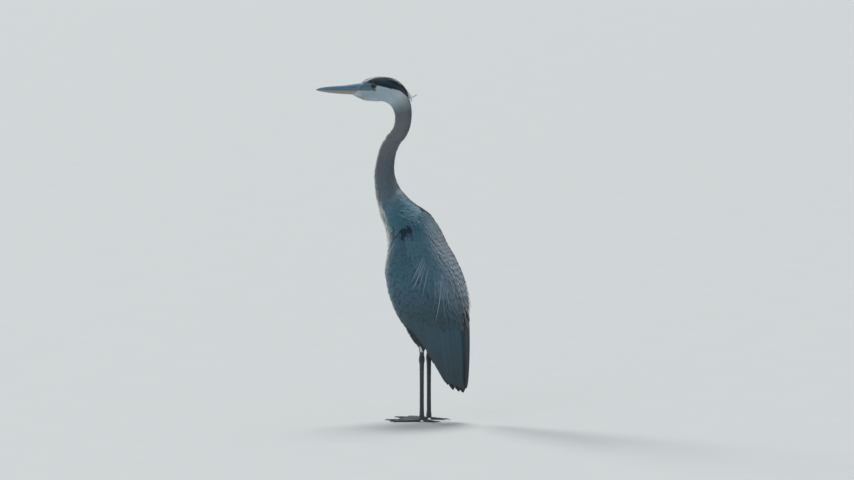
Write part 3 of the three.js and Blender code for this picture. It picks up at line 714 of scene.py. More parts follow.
# ---------------------------------------------------------------- materials
class Nodes:
    """A short way to write a node tree."""

    def __init__(self, tree):
        self.tree = tree

    def add(self, kind, inputs=None, **settings):
        node = self.tree.nodes.new(kind)
        for name, value in settings.items():
            setattr(node, name, value)
        for name, value in (inputs or {}).items():
            self.feed(node.inputs[name], value)
        return node

    def feed(self, socket, value):
        """Links a node or a socket, or sets a number or a colour."""
        if isinstance(value, bpy.types.Node):
            value = next(output for output in value.outputs if output.enabled)
        if isinstance(value, bpy.types.NodeSocket):
            self.tree.links.new(value, socket)
        else:
            socket.default_value = value

    def math(self, operation, *values):
        node = self.add("ShaderNodeMath", operation=operation)
        for socket, value in zip(node.inputs, values):
            self.feed(socket, value)
        return node

    def remap(self, value, low, high, new_low=0.0, new_high=1.0):
        sizes = {"Value": value, "From Min": low, "From Max": high, "To Min": new_low, "To Max": new_high}
        return self.add("ShaderNodeMapRange", sizes).outputs["Result"]

    def mix(self, share, first, second, blend="MIX"):
        node = self.add("ShaderNodeMix", data_type="RGBA", blend_type=blend)
        for socket, value in zip((node.inputs[0], node.inputs[6], node.inputs[7]), (share, first, second)):
            self.feed(socket, (*value, 1) if isinstance(value, tuple) else value)
        return node.outputs[2]

    def shaded(self, tint, shade):
        """A tint multiplied by one number."""
        grey = self.add("ShaderNodeCombineColor", {"Red": shade, "Green": shade, "Blue": shade})
        return self.mix(1.0, tint, grey.outputs["Color"], "MULTIPLY")

    def place(self):
        return self.add("ShaderNodeTexCoord").outputs["Object"]

    def stored(self, name, output="Vector"):
        """What the mesh keeps for each of its points."""
        return self.add("ShaderNodeAttribute", attribute_name=name).outputs[output]

    def axis(self, vector, name):
        return self.add("ShaderNodeSeparateXYZ", {0: vector}).outputs[name]

    def noise(self, place, scale, detail):
        sizes = {"Vector": place, "Scale": scale, "Detail": detail}
        return self.add("ShaderNodeTexNoise", sizes).outputs["Fac"]

    def mottle(self, place, scale, grain, amount):
        sizes = {"Vector": place, "Scale": scale, "Grain": grain, "Amount": amount}
        return self.add("ShaderNodeGroup", sizes, node_tree=mottle_group()).outputs

    def dress(self, shader, colour, roughness=None, relief=None, strength=0.3, depth=0.0003):
        """Feeds a shader its colour, its roughness and a relief that is some metres deep."""
        self.feed(shader.inputs["Base Color"], colour)
        if roughness is not None:
            self.feed(shader.inputs["Roughness"], roughness)
        if relief is not None:
            bump = self.add("ShaderNodeBump", {"Height": relief, "Strength": strength, "Distance": depth})
            self.feed(shader.inputs["Normal"], bump)


def node_group(name, inputs, fill):
    """A shader node group, built once, that gives a shade and a height."""
    if name in bpy.data.node_groups:
        return bpy.data.node_groups[name]
    tree = bpy.data.node_groups.new(name, "ShaderNodeTree")
    for socket_name, default in inputs.items():
        kind = "NodeSocketVector" if default is None else "NodeSocketFloat"
        socket = tree.interface.new_socket(socket_name, in_out="INPUT", socket_type=kind)
        if default is not None:
            socket.default_value = default
    for socket_name in ("Shade", "Height"):
        tree.interface.new_socket(socket_name, in_out="OUTPUT", socket_type="NodeSocketFloat")
    nodes = Nodes(tree)
    shade, height = fill(nodes, tree.nodes.new("NodeGroupInput").outputs)
    nodes.add("NodeGroupOutput", {"Shade": shade, "Height": height})
    return tree


def barbs_group():
    """Barbs that slant from a shaft to both edges of a vane. The vane's coordinates are millimetres across
    and along it, and the share of the way to its edge."""

    def fill(nodes, given):
        axes = nodes.add("ShaderNodeSeparateXYZ", {0: given["Vane"]})
        across = nodes.math("ABSOLUTE", axes.outputs["X"])
        ragged = nodes.noise(given["Vane"], 0.55, 2.0)
        slant = nodes.math("MULTIPLY", across, 1.25)
        place = nodes.math("SUBTRACT", axes.outputs["Y"], slant)
        place = nodes.math("DIVIDE", place, given["Pitch"])
        place = nodes.math("ADD", place, nodes.math("MULTIPLY", ragged, 2.2))
        wave = nodes.math("SINE", nodes.math("MULTIPLY", place, 2 * pi))
        wave = nodes.math("MULTIPLY", wave, 0.5)
        shaft = nodes.remap(across, 0.0, given["Shaft"], 1.0, 0.0)
        edge = nodes.math("POWER", axes.outputs["Z"], 5.0)
        shade = nodes.math("MULTIPLY", wave, given["Depth"])
        shade = nodes.math("ADD", shade, nodes.math("MULTIPLY", edge, given["Fringe"]))
        shade = nodes.math("SUBTRACT", shade, nodes.math("MULTIPLY", shaft, 0.26))
        height = nodes.math("ADD", wave, nodes.math("MULTIPLY", shaft, 1.4))
        return nodes.math("ADD", shade, 1.0), height

    return node_group("Barbs", {"Vane": None, "Pitch": 0.7, "Shaft": 0.35, "Depth": 0.2, "Fringe": 0.2}, fill)


def mottle_group():
    """Uneven tone and grain, as millimetre specks over wide soft patches."""

    def fill(nodes, given):
        wide = nodes.noise(given["Vector"], given["Scale"], 3.0)
        fine = nodes.noise(given["Vector"], given["Grain"], 2.0)
        low, high = (nodes.math("SUBTRACT", noise, 0.5) for noise in (wide, fine))
        total = nodes.math("ADD", low, nodes.math("MULTIPLY", high, 0.6))
        return nodes.math("ADD", nodes.math("MULTIPLY", total, given["Amount"]), 1.0), fine

    return node_group("Mottle", {"Vector": None, "Scale": 30.0, "Grain": 900.0, "Amount": 0.3}, fill)


def principled(name, roughness, sheen=0.0, specular=0.5, coat=0.0):
    """A new material with its shader, whose even numbers stand on its own sockets."""
    material = bpy.data.materials.new(name)
    material.use_nodes = True
    tree = material.node_tree
    shader = tree.nodes["Principled BSDF"]
    evens = {
        "Roughness": roughness, "Specular IOR Level": specular, "Coat Weight": coat, "Coat Roughness": 0.04,
        "Sheen Weight": sheen, "Sheen Roughness": 0.55,
    }
    for socket, value in evens.items():
        shader.inputs[socket].default_value = value
    return material, Nodes(tree), shader


def stage_colour(name, share=1.0):
    """One of the chosen colours, lighter or darker, as the numbers that a node takes."""
    return tuple(min(1, share * value) for value in getattr(bpy.context.scene.heron_colours, name))


# Feathers of each kind: millimetres between barbs and across the shaft, depth of the barbs, paleness of the
# edge, roughness, sheen and mottle.
FEATHERS = {
    "fine feathers": (0.35, 0.12, 0.2, 0.1, 0.7, 0.3, 0.18),
    "neck feathers": (0.5, 0.14, 0.22, 0.12, 0.74, 0.3, 0.2),
    "black plumes": (0.5, 0.2, 0.2, 0.1, 0.6, 0.05, 0.2),
    "belly feathers": (0.7, 0.25, 0.25, 0.15, 0.72, 0.25, 0.22),
    "thigh feathers": (0.6, 0.2, 0.22, 0.12, 0.72, 0.25, 0.22),
    "bib plumes": (0.6, 0.2, 0.2, 0.1, 0.72, 0.25, 0.22),
    "vent feathers": (0.7, 0.2, 0.2, 0.1, 0.72, 0.25, 0.22),
    "back feathers": (0.75, 0.3, 0.26, 0.1, 0.72, 0.25, 0.22),
    "long plumes": (0.6, 0.3, 0.14, 0.2, 0.6, 0.35, 0.12),
    "wing coverts": (0.8, 0.35, 0.26, 0.1, 0.72, 0.25, 0.22),
    "flight feathers": (0.9, 0.7, 0.14, 0.06, 0.7, 0.04, 0.15),
}


def feather_material(name):
    """Vanes: the feather's own tone, barbs, a shaft and a worn pale edge."""
    if name in bpy.data.materials:
        return bpy.data.materials[name]
    pitch, shaft, depth, fringe, roughness, sheen, mottle = FEATHERS[name]
    material, nodes, shader = principled(name, roughness, sheen, 0.3)
    sizes = {"Vane": nodes.stored("vane"), "Pitch": pitch, "Shaft": shaft, "Depth": depth, "Fringe": fringe}
    barbs = nodes.add("ShaderNodeGroup", sizes, node_tree=barbs_group()).outputs
    patches = nodes.mottle(nodes.place(), 38.0, 1100.0, mottle)
    shade = nodes.math("MULTIPLY", barbs["Shade"], patches["Shade"])
    colour = nodes.shaded(nodes.stored("tone", "Color"), shade)
    nodes.dress(shader, colour, None, barbs["Height"], 0.35, 0.0002)
    return material


def skin_material():
    """Bare and feathered skin: its marked tone, broken by down, pores and fine folds."""
    material, nodes, shader = principled("heron skin", 0.62, 0.1, 0.35)
    place = nodes.place()
    patches = nodes.mottle(place, 60.0, 1400.0, 0.45)
    cells = nodes.add("ShaderNodeTexVoronoi", {"Vector": place, "Scale": 1150.0}, feature="DISTANCE_TO_EDGE")
    folds = nodes.remap(cells.outputs["Distance"], 0.0, 0.12)
    height = nodes.math("ADD", folds, patches["Height"])
    nodes.dress(shader, nodes.shaded(nodes.stored("tone", "Color"), patches["Shade"]), None, height)
    return material


def scale_material():
    """Dry horny scales of the legs, worn paler on their crowns."""
    material, nodes, shader = principled("leg scales", 0.5, 0.0, 0.4)
    patches = nodes.mottle(nodes.place(), 90.0, 1500.0, 0.5)
    crown = nodes.remap(nodes.axis(nodes.stored("vane"), "Z"), 0.2, 1.0, 1.15, 0.55)
    shade = nodes.math("MULTIPLY", patches["Shade"], crown)
    roughness = nodes.remap(patches["Height"], 0.3, 0.7, 0.42, 0.62)
    nodes.dress(shader, nodes.shaded(nodes.stored("tone", "Color"), shade), roughness, patches["Height"])
    return material


def horn_material(name, base, worn, roughness):
    """Layered horn with streaks along it, darker at the tip of the bill."""
    material, nodes, shader = principled(name, roughness, 0.0, 0.5, 0.15)
    pivot = tuple(turned(placed((NAPE_X, 0, 0)), -HEAD_TURN, 0))
    unturned = {"Vector": nodes.place(), "Rotation": (0, 0, radians(-HEAD_TURN))}
    unturned = nodes.add("ShaderNodeMapping", unturned, vector_type="POINT")
    moved = nodes.add("ShaderNodeVectorMath", {0: unturned, 1: pivot}, operation="SUBTRACT")
    stretched = nodes.add("ShaderNodeMapping", {"Vector": moved, "Scale": (0.06, 1.0, 1.0)})
    streaks = nodes.noise(stretched, 700.0, 4.0)
    ends = [(BILL_TIP_X + reach - NAPE_X) * MM for reach in (0, BILL[-1, 0])]
    root = nodes.remap(nodes.axis(moved, "X"), *ends)
    tip = nodes.add("ShaderNodeValToRGB", {"Fac": root})
    tip.color_ramp.elements.new(0.5)
    for element, (reach, shade) in zip(tip.color_ramp.elements, ((0.0, 0.9), (0.12, 0.95), (1.0, 1.0))):
        element.position = reach
        element.color = (shade, shade, shade, 1)
    shade = nodes.mix(1.0, nodes.mix(streaks, base, worn), tip.outputs["Color"], "MULTIPLY")
    colour = nodes.shaded(shade, nodes.mottle(moved, 70.0, 1300.0, 0.35)["Shade"])
    uneven = nodes.remap(streaks, 0.3, 0.7, roughness - 0.06, roughness + 0.12)
    nodes.dress(shader, colour, uneven, streaks, 0.25)
    return material


def eye_material():
    """Yellow iris with fine rays, a round black pupil and a dark rim, under a wet clear coat."""
    material, nodes, shader = principled("heron eye", 0.2, 0.0, 0.05, 0.25)
    gaze = nodes.stored("gaze")
    reach = nodes.axis(gaze, "Z")
    rays = nodes.noise(gaze, 5.0, 5.0)
    lively = nodes.mix(rays, stage_colour("iris", 0.55), stage_colour("iris", 1.35))
    inner = nodes.remap(reach, PUPIL - 0.12, PUPIL + 0.12)
    outer = nodes.remap(reach, IRIS - 0.5, IRIS + 0.25)
    eye = nodes.mix(inner, (0.004, 0.004, 0.005), lively)
    nodes.dress(shader, nodes.mix(outer, eye, (0.02, 0.018, 0.015)))
    return material


def claw_material():
    """Black horn, worn unevenly."""
    material, nodes, shader = principled("claw horn", 0.38, 0.0, 0.5, 0.1)
    grain = nodes.noise(nodes.place(), 900.0, 3.0)
    colour = nodes.mix(grain, stage_colour("claw", 0.6), stage_colour("claw", 2.2))
    nodes.dress(shader, colour, nodes.remap(grain, 0.3, 0.7, 0.3, 0.5), grain, 0.2, 0.0002)
    return material


def floor_material():
    """An even pale floor."""
    material, nodes, shader = principled("studio floor", 0.85, 0.0, 0.2)
    grain = nodes.noise(nodes.place(), 6.0, 4.0)
    nodes.dress(shader, nodes.mix(grain, stage_colour("floor", 0.96), stage_colour("floor")))
    return material


# ---------------------------------------------------------------- mesh tools
def new_object(name, mesh):
    piece = bpy.data.objects.new(name, mesh)
    bpy.context.scene.collection.objects.link(piece)
    return piece


def add_piece(name, mesh, material, slot, *nodes):
    """A piece that rides on the bird's one body and stands for the frame's nodes."""
    piece = new_object(name, mesh)
    mesh.materials.append(material)
    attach(piece, "root")
    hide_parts(*nodes)


def add_sleeve(bm, surface, start, end, rows, columns, out=None):
    """A closed tube on a surface, between two stations."""
    made = bmesh.ops.create_grid(bm, x_segments=columns, y_segments=rows, size=0.5)["verts"]
    grid = np.array([vertex.co for vertex in made])
    u = start + (grid[:, 1] + 0.5) * (end - start)
    a = grid[:, 0] * 360
    for vertex, place in zip(made, surface.at(u, a, out(u, a) if out else 0 * u)):
        vertex.co = place
    bmesh.ops.remove_doubles(bm, verts=made, dist=0.01)
    rims = [edge for edge in bm.edges if edge.is_boundary]
    bmesh.ops.holes_fill(bm, edges=rims)


def mesh_of(bm, name, scale=True):
    """The bmesh as a mesh in the frame, its faces turned outwards."""
    bmesh.ops.recalc_face_normals(bm, faces=bm.faces)
    if scale:
        bmesh.ops.translate(bm, verts=bm.verts, vec=(BIRD_X, 0, 0))
        bmesh.ops.scale(bm, verts=bm.verts, vec=(MM, MM, MM))
    for face in bm.faces:
        face.smooth = True
    mesh = bpy.data.meshes.new(name)
    bm.to_mesh(mesh)
    bm.free()
    return mesh


def remeshed(bm, grain):
    """One closed skin round everything in the bmesh, which is in millimetres."""
    mesh = bpy.data.meshes.new("forms")
    bm.to_mesh(mesh)
    bm.free()
    holder = new_object("forms", mesh)
    remesh = holder.modifiers.new("skin", "REMESH")
    remesh.mode = "VOXEL"
    remesh.voxel_size = grain
    evaluated = holder.evaluated_get(bpy.context.evaluated_depsgraph_get())
    skin = bmesh.new()
    skin.from_mesh(evaluated.to_mesh())
    evaluated.to_mesh_clear()
    bpy.data.objects.remove(holder)
    bpy.data.meshes.remove(mesh)
    return skin


def points_of(bm):
    """The places of all vertices."""
    return np.array([vertex.co for vertex in bm.verts])


def add_tone(mesh, tone):
    """Stores a colour for each point."""
    layer = mesh.color_attributes.new("tone", "FLOAT_COLOR", "POINT")
    shade = np.ones((len(mesh.vertices), 4), np.float32)
    shade[:, :3] = np.clip(tone, 0, 1)
    layer.data.foreach_set("color", shade.ravel())


class Shape:
    """A small closed shape whose copies make a coat. Its points are read as "across", "along" and "side"."""

    def __init__(self, bm, is_sharp):
        for items in (bm.verts, bm.edges):
            items.index_update()
        self.across, self.along, self.side = points_of(bm).T
        self.edges = np.array([[vertex.index for vertex in edge.verts] for edge in bm.edges])
        self.sharp = np.array([is_sharp(edge) for edge in bm.edges])
        self.corners = np.array([[loop.vert.index for loop in face.loops] for face in bm.faces])
        self.borders = np.array([[loop.edge.index for loop in face.loops] for face in bm.faces])
        bm.free()


RIM = 0.999  # how far out a corner of the grid counts as on its rim


def on_rim(edge):
    first, second = (vertex.co for vertex in edge.verts)
    flat = abs(first.z) < 0.5 and abs(second.z) < 0.5
    return flat and any(abs(first[k]) > RIM and abs(first[k] - second[k]) < 0.001 for k in (0, 1))


def vane_shape(rows, columns, crowd):
    """One thin closed vane. "across" runs from -1 to 1, "along" from 0 to 1, and "side" is 1 on the outer
    face, -1 on the inner face and 0 on the rim. Its rows crowd towards the tip."""
    bm = bmesh.new()
    for side in (1, -1):
        made = bmesh.ops.create_grid(bm, x_segments=columns, y_segments=rows, size=1)["verts"]
        for vertex in made:
            vertex.co.z = 0 if max(abs(vertex.co.x), abs(vertex.co.y)) > RIM else side
        if side < 0:
            bmesh.ops.reverse_faces(bm, faces=list({face for vertex in made for face in vertex.link_faces}))
    bmesh.ops.remove_doubles(bm, verts=bm.verts, dist=0.001)
    shape = Shape(bm, on_rim)
    shape.along = 1 - (0.5 - 0.5 * shape.along) ** crowd
    return shape


def joined_mesh(name, shape, points, tone, vane, bake):
    """Copies of one small shape as one mesh. Arrays are copies by vertices of the shape."""
    copies, count = points.shape[:2]
    mesh = bpy.data.meshes.new(name)
    steps = np.arange(copies)[:, None, None]
    edges = (shape.edges[None] + steps * count).ravel()
    corners = (shape.corners[None] + steps * count).ravel()
    borders = (shape.borders[None] + steps * len(shape.edges)).ravel()
    sides = shape.corners.shape[1]
    mesh.vertices.add(copies * count)
    mesh.vertices.foreach_set("co", placed(points).astype(np.float32).ravel())
    mesh.edges.add(len(edges) // 2)
    mesh.edges.foreach_set("vertices", edges)
    mesh.loops.add(len(corners))
    mesh.loops.foreach_set("vertex_index", corners)
    mesh.loops.foreach_set("edge_index", borders)
    mesh.polygons.add(len(corners) // sides)
    mesh.polygons.foreach_set("loop_start", np.arange(0, len(corners), sides))
    mesh.polygons.foreach_set("use_smooth", np.ones(len(corners) // sides, bool))
    sharp = mesh.attributes.new("sharp_edge", "BOOLEAN", "EDGE")
    sharp.data.foreach_set("value", np.tile(shape.sharp, copies))
    mesh.update()
    add_tone(mesh, tone.reshape(-1, 3))
    layer = mesh.attributes.new("vane", "FLOAT_VECTOR", "POINT")
    layer.data.foreach_set("vector", vane.astype(np.float32).ravel())
    mesh.uv_layers.new(name="OFBake")
    mesh.uv_layers["OFBake"].uv.foreach_set("vector", bake.reshape(-1, 2)[corners].astype(np.float32).ravel())
    return mesh


TIP_SHARE = 0.3  # breadth of the end of a rounded tip, next to the whole vane
ROOT_SHARE = 0.42  # breadth at the root, next to the whole vane, and share of the length over which it grows
LAST_SHARE = 0.6  # share of the length at which a vane's end begins to fray
PATCH = 0.003  # breadth of a feather's patch on the unwrap
ALL_ROUND = (-180, 180)


def vane_breadth(down, width, length, point):
    """Half the breadth of a vane along it, between a rounded one and one that is drawn out to a point."""
    rounding = np.clip(1 - 0.95 * width / length, 0.3, 0.95)
    blunt = np.sqrt(np.clip(1 - np.clip((down - rounding) / (1 - rounding), 0, 1) ** 2.2, TIP_SHARE**2, 1))
    drawn = np.clip(1.02 - down, 0.01, 1) ** 0.8 * 1.25
    belly = ROOT_SHARE + (1 - ROOT_SHARE) * smooth(down, -0.05, ROOT_SHARE)
    whole = width / 2 * belly
    return whole * np.minimum(blunt, 1) * (1 - point) + whole * np.minimum(drawn, 1) * point


class Coat:
    """Feathers of one kind, gathered from one or more areas and joined as one piece."""

    def __init__(self, rows=4, columns=2, crowd=1.25):
        self.shape = vane_shape(rows, columns, crowd)
        self.parts = []

    def lay(self, surface, u, a, length, width, root, tip, tone, rng, turn=0.0, wander=0.0, point=0.4,
            bend=0.0, camber=0.05, fray=0.05, own_map=None, tip_tone=None, tilt=0.3, path=None, bow=0.8,
            lively=0.045):
        """Lays feathers on a surface.

        u and a are their roots, and length and width are in millimetres. root and tip are how far their
        ends lie outside the surface. turn is degrees from the lie, and wander is how much that varies. point
        is 0 for a round tip and 1 for a drawn-out one. tilt lifts one edge over the next feather, path leads
        off the lie, and bow is how late the tip lifts. own_map gives each feather its own strip of the
        unwrap: the number of the first and how many there are."""
        if wander:
            turn = turn + rng.normal(0, wander, len(u))
        u, a, length, width, root, tip, turn, point, bend, tilt = (
            np.broadcast_to(np.asarray(v, float), np.shape(u))[:, None]
            for v in (u, a, length, width, root, tip, turn, point, bend, tilt)
        )
        across, down, side = self.shape.across[None], self.shape.along[None], self.shape.side[None]
        half = vane_breadth(down, width, length, point)
        ragged = rng.normal(0, fray, np.broadcast_shapes(u.shape, down.shape)) * smooth(down, 0.3, 1)
        last = smooth(down, LAST_SHARE, 1)
        sideways = across * half * (1 + ragged)
        forwards = down * length * (1 + 0.4 * ragged * last)
        forwards = forwards - 0.5 * half * across**2 * last
        angle = np.radians(turn + bend * down)
        ahead = forwards * np.cos(angle) - sideways * np.sin(angle)
        beside = forwards * np.sin(angle) + sideways * np.cos(angle)
        out = root + (tip - root) * down**bow + camber * width * (1 - across**2) * (0.3 + 0.7 * down)
        out = out + side * coat_size("vane") / 2 * (1.2 - down) + tilt * across
        out = out + rng.normal(0, 0.08, u.shape)
        there = surface.ahead(u, a, ahead)
        middle = path(u, a, there) if path else a
        points = surface.at(there, middle + beside / surface.round_at(there), out)
        vane = np.stack([sideways, forwards + 0 * out, np.abs(across) + 0 * out], -1)
        shade = tone[:, None, :] + 0 * points
        if tip_tone is not None:
            shade = shade + (tip_tone[:, None, :] - shade) * smooth(down, 0.3, 0.9)[..., None]
        shade = shade * rng.normal(1, lively, u.shape)[..., None]
        if own_map is None:
            patch = np.stack([across + 0 * down, 2 * down - 1 + 0 * across], -1) * PATCH / 2
            bake = on_atlas(surface, u, a) + patch
        else:
            first, total = own_map
            column = (first + np.arange(len(u))[:, None] + 0.5 + 0.46 * across) / total
            bake = np.stack([column, 0.01 + 0.98 * down + 0 * column], -1)
        self.parts.append((points, shade, vane, bake + 0 * points[..., :2]))

    def piece(self, name, feathers, slot, *nodes):
        mesh = joined_mesh(name, self.shape, *joined(self.parts))
        add_piece(name, mesh, feather_material(feathers), slot, *nodes)


def joined(parts):
    """Points, tones, vanes and unwraps of all parts of a coat."""
    return (np.concatenate([part[k] for part in parts]) for k in range(4))


def sizes_along(*rows):
    """Length and width of feathers at any station, from rows of station, length and width."""
    stations, length, width = np.array(rows).T
    return lambda u: (np.interp(u, stations, length), np.interp(u, stations, width))


def roots(surface, start, end, span, size, rng, overlap, spacing):
    """Staggered rows of feather roots on a surface, from one station to another.

    span gives the first and last angle of a row, and size the length and width of its feathers, each as two
    numbers or as a function of u. overlap is the share of a feather's length from row to row, and spacing the
    share of its width from root to root."""
    rows = []
    u, row = start, 0
    while u < end:
        first, last = span(u) if callable(span) else span
        length, width = size(u) if callable(size) else size
        count = max(int((last - first) * surface.round_at(u) / (width * spacing)), 1)
        share = (np.arange(count) + 0.25 + 0.5 * (row % 2) + rng.uniform(-0.22, 0.22, count)) / count
        following = float(surface.ahead(u, (first + last) / 2, length * overlap))
        pitch = max(following - u, 0.004)
        stations = u + rng.uniform(-0.22, 0.22, count) * pitch
        rows.append(np.stack([stations, first + (last - first) * share], -1))
        u, row = u + pitch, row + 1
    return np.concatenate(rows).T


# ---------------------------------------------------------------- pieces
def coat_depth(u):
    """Depth of the feathers along the head and neck, in millimetres."""
    head, neck = coat_size("head_coat"), coat_size("neck_coat")
    return np.interp(u, (0, 3, 5, 8.5, 12), (0.4 * head, 0.6 * head, head, 1.2 * head, neck))


def wing_bed(u, a):
    """How far out the flesh of the folded wing reaches. It lies deeper under the feathers below the elbow."""
    side = from_back(a)
    row = along(PLUMAGE, u)
    depth = coat_size("wing_coat")
    z, cape = row[..., 0], WINGS.even(u, row[..., CAPE])
    mantle = (1 - smooth(side, cape - 10, cape + 2)) * smooth(z, 400, 440)
    return -(depth - 4.6 * mantle + 5 * smooth(side, 128, 150) + 22 * (1 - smooth(z, 250, 345)))


def face_relief(points):
    """Millimetres by which brow, socket and corner of the mouth stand out of the smooth head."""
    x, _, z = straight(points)
    away = eye_distance(points)
    brow = 1.3 * bump_at(z, EYE_Z + 9, 3.2) * bump_at(x, EYE_X - 2, 16)
    socket = -1.4 * bump_at(away, 8.5, 3)
    hollow = -1.2 * bareness(points) * bump_at(z, 966, 5)
    return brow + socket + hollow - 0.9 * gape_line(points) * (1 - smooth(x, -168, -160))


def soften(bm, times):
    """Relaxes the steps that the remesh leaves."""
    for _ in range(times):
        axes = {f"use_axis_{axis}": True for axis in "xyz"}
        bmesh.ops.smooth_vert(bm, verts=bm.verts, factor=0.5, **axes)


def keep_above_floor(bm):
    """Flattens the soles on the floor."""
    for vertex in bm.verts:
        vertex.co.z = max(vertex.co.z, 0)


def build_skin():
    """One skin of head, neck, trunk, wings and legs, inside the frame's forms by the depth of the coat."""
    depth = coat_size("body_coat")
    forms = bmesh.new()
    add_sleeve(forms, NECK, 0.4, 20.9, 260, 72, lambda u, a: -coat_depth(u))
    add_sleeve(forms, BODY, 0.2, 12.9, 90, 72, lambda u, a: 0 * u - depth)
    add_sleeve(forms, WINGS, 1.2, level_of(PLUMAGE, 262), 110, 96, wing_bed)
    for side in SIDES:
        add_sleeve(forms, THIGHS[side], 0.05, 3.6, 40, 36, lambda u, a: -3.5 + 1.5 * smooth(u, 2.5, 3.6))
    body = remeshed(forms, coat_size("skin_grain"))
    soften(body, 1)
    refine_face(body)
    feet = bmesh.new()
    for side in SIDES:
        add_sleeve(feet, LEGS[side], 0, 12, 120, 28, lambda u, a: 0 * u - 0.45)
        for toe in TOES:
            add_sleeve(feet, FEET[side, toe], -0.06, 1.0, 80, 24, lambda u, a: 0 * u - 0.35)
    feet = remeshed(feet, coat_size("foot_grain"))
    soften(feet, 2)
    keep_above_floor(feet)
    for side, sign in SIDES.items():
        add_lids(body, sign)
    part = bpy.data.meshes.new("part")
    feet.to_mesh(part)
    feet.free()
    body.from_mesh(part)
    bpy.data.meshes.remove(part)
    points = points_of(body)
    mesh = mesh_of(body, "skin")
    mark_skin(mesh, points)
    replaced = ["head", "neck_upper", "neck_bend", "neck_middle", "neck_base", "trunk"]
    for side in SIDES:
        replaced += [f"{part}_{side}" for part in ("thigh", "shank", "hock", "tarsus", "ankle")]
        replaced += [f"toe_{toe}_{side}" for toe in TOES]
    add_piece("skin", mesh, skin_material(), "slate", *replaced)


FACE_END = 6.4  # the skin is finer from the bill to this station


def refine_face(bm):
    """Splits the faces of the face twice, lays them back on the head and adds the relief."""
    back = turned((-128, 0, 960), HEAD_TURN)[0]
    for _ in range(2):
        near = [face for face in bm.faces if face.calc_center_median().x < back]
        edges = list({edge for face in near for edge in face.edges})
        bmesh.ops.subdivide_edges(bm, edges=edges, cuts=1, use_grid_fill=True)
    bm.verts.ensure_lookup_table()
    face = [vertex for vertex in bm.verts if vertex.co.x < back]
    points = np.array([vertex.co for vertex in face])
    u, a, _ = nearest(points, [NECK])
    laid = NECK.at(u, a, -coat_depth(u) + face_relief(points))
    share = (1 - smooth(u, FACE_END - 0.8, FACE_END - 0.2)) * smooth(u, 0.8, 1.2)
    for vertex, old, new, weight in zip(face, points, laid, share):
        vertex.co = old + (new - old) * weight


LID = ((5.6, 5.85), (5.7, 6.6), (6.1, 6.95), (6.9, 6.75), (7.9, 5.9), (9.2, 4.4), (10.6, 2.4), (11.8, -0.5))
LID_TURNS = 56


def eye_axes(sign):
    """Centre of an eye, and the directions outwards, forwards and up from it."""
    centre = turned((EYE_X, -sign * EYE_SIDE, EYE_Z), HEAD_TURN)
    outwards = turned(unit(np.array((-0.16, -sign, 0.02))), HEAD_TURN, 0)
    up = unit(UP - outwards * outwards[2])
    return centre, outwards, np.cross(up, outwards) * sign, up


def add_lids(bm, sign):
    """Eyelids as a soft ring on the ball of the eye, drawn out a little at both corners."""
    centre, outwards, forwards, up = eye_axes(sign)
    made = bmesh.ops.create_grid(bm, x_segments=LID_TURNS, y_segments=len(LID) - 1, size=0.5)["verts"]
    for vertex in made:
        angle = 2 * pi * (vertex.co.x + 0.5)
        reach, height = LID[min(int(round((vertex.co.y + 0.5) * (len(LID) - 1))), len(LID) - 1)]
        inner = max(0, 1 - (reach - LID[0][0]) / 4)
        wide = reach * (1 + 0.07 * inner * cos(angle) ** 6)
        tall = reach * (1 - 0.1 * inner * (sin(angle) > 0)) * (1 - 0.03 * inner)
        vertex.co = centre + forwards * wide * cos(angle) + up * tall * sin(angle) + outwards * height
    bmesh.ops.remove_doubles(bm, verts=made, dist=0.01)


SKIN_DEPTH = 3  # millimetres inside a surface at which the skin is looked for


def nearest(points, surfaces):
    """For each point, the station and angle of the nearest surface point, and the number of its surface."""
    found = []
    for number, surface in enumerate(surfaces):
        u = np.linspace(0, surface.last, max(len(surface.stations) // 3, 24))
        a = np.arange(-180, 180, 5.0)
        grid_u, grid_a = (g.ravel() for g in np.meshgrid(u, a, indexing="ij"))
        places = surface.at(grid_u, grid_a, -SKIN_DEPTH)
        found.append(np.column_stack([places, grid_u, grid_a, 0 * grid_u + number]))
    samples = np.concatenate(found)
    tree = KDTree(len(samples))
    for i, row in enumerate(samples):
        tree.insert(row[:3], i)
    tree.balance()
    chosen = samples[[tree.find(point)[1] for point in points]]
    u, a, number = chosen[:, 3].copy(), chosen[:, 4].copy(), chosen[:, 5].astype(int)
    for i, surface in enumerate(surfaces):
        mine = number == i
        for _ in range(2):
            here = surface.at(u[mine], a[mine], -SKIN_DEPTH)
            by_u = (surface.at(u[mine] + 0.01, a[mine], -SKIN_DEPTH) - here) / 0.01
            by_a = surface.at(u[mine], a[mine] + 1, -SKIN_DEPTH) - here
            gap = points[mine] - here
            u[mine] += np.clip(np.sum(gap * by_u, -1) / np.maximum(np.sum(by_u**2, -1), 1e-3), -0.2, 0.2)
            a[mine] += np.clip(np.sum(gap * by_a, -1) / np.maximum(np.sum(by_a**2, -1), 1e-3), -5, 5)
        u[mine] = np.clip(u[mine], 0, surface.last)
    return u, a, number


def whole_numbers(items, name):
    """One whole number of each item of a mesh."""
    values = np.zeros(len(items), int)
    items.foreach_get(name, values)
    return values


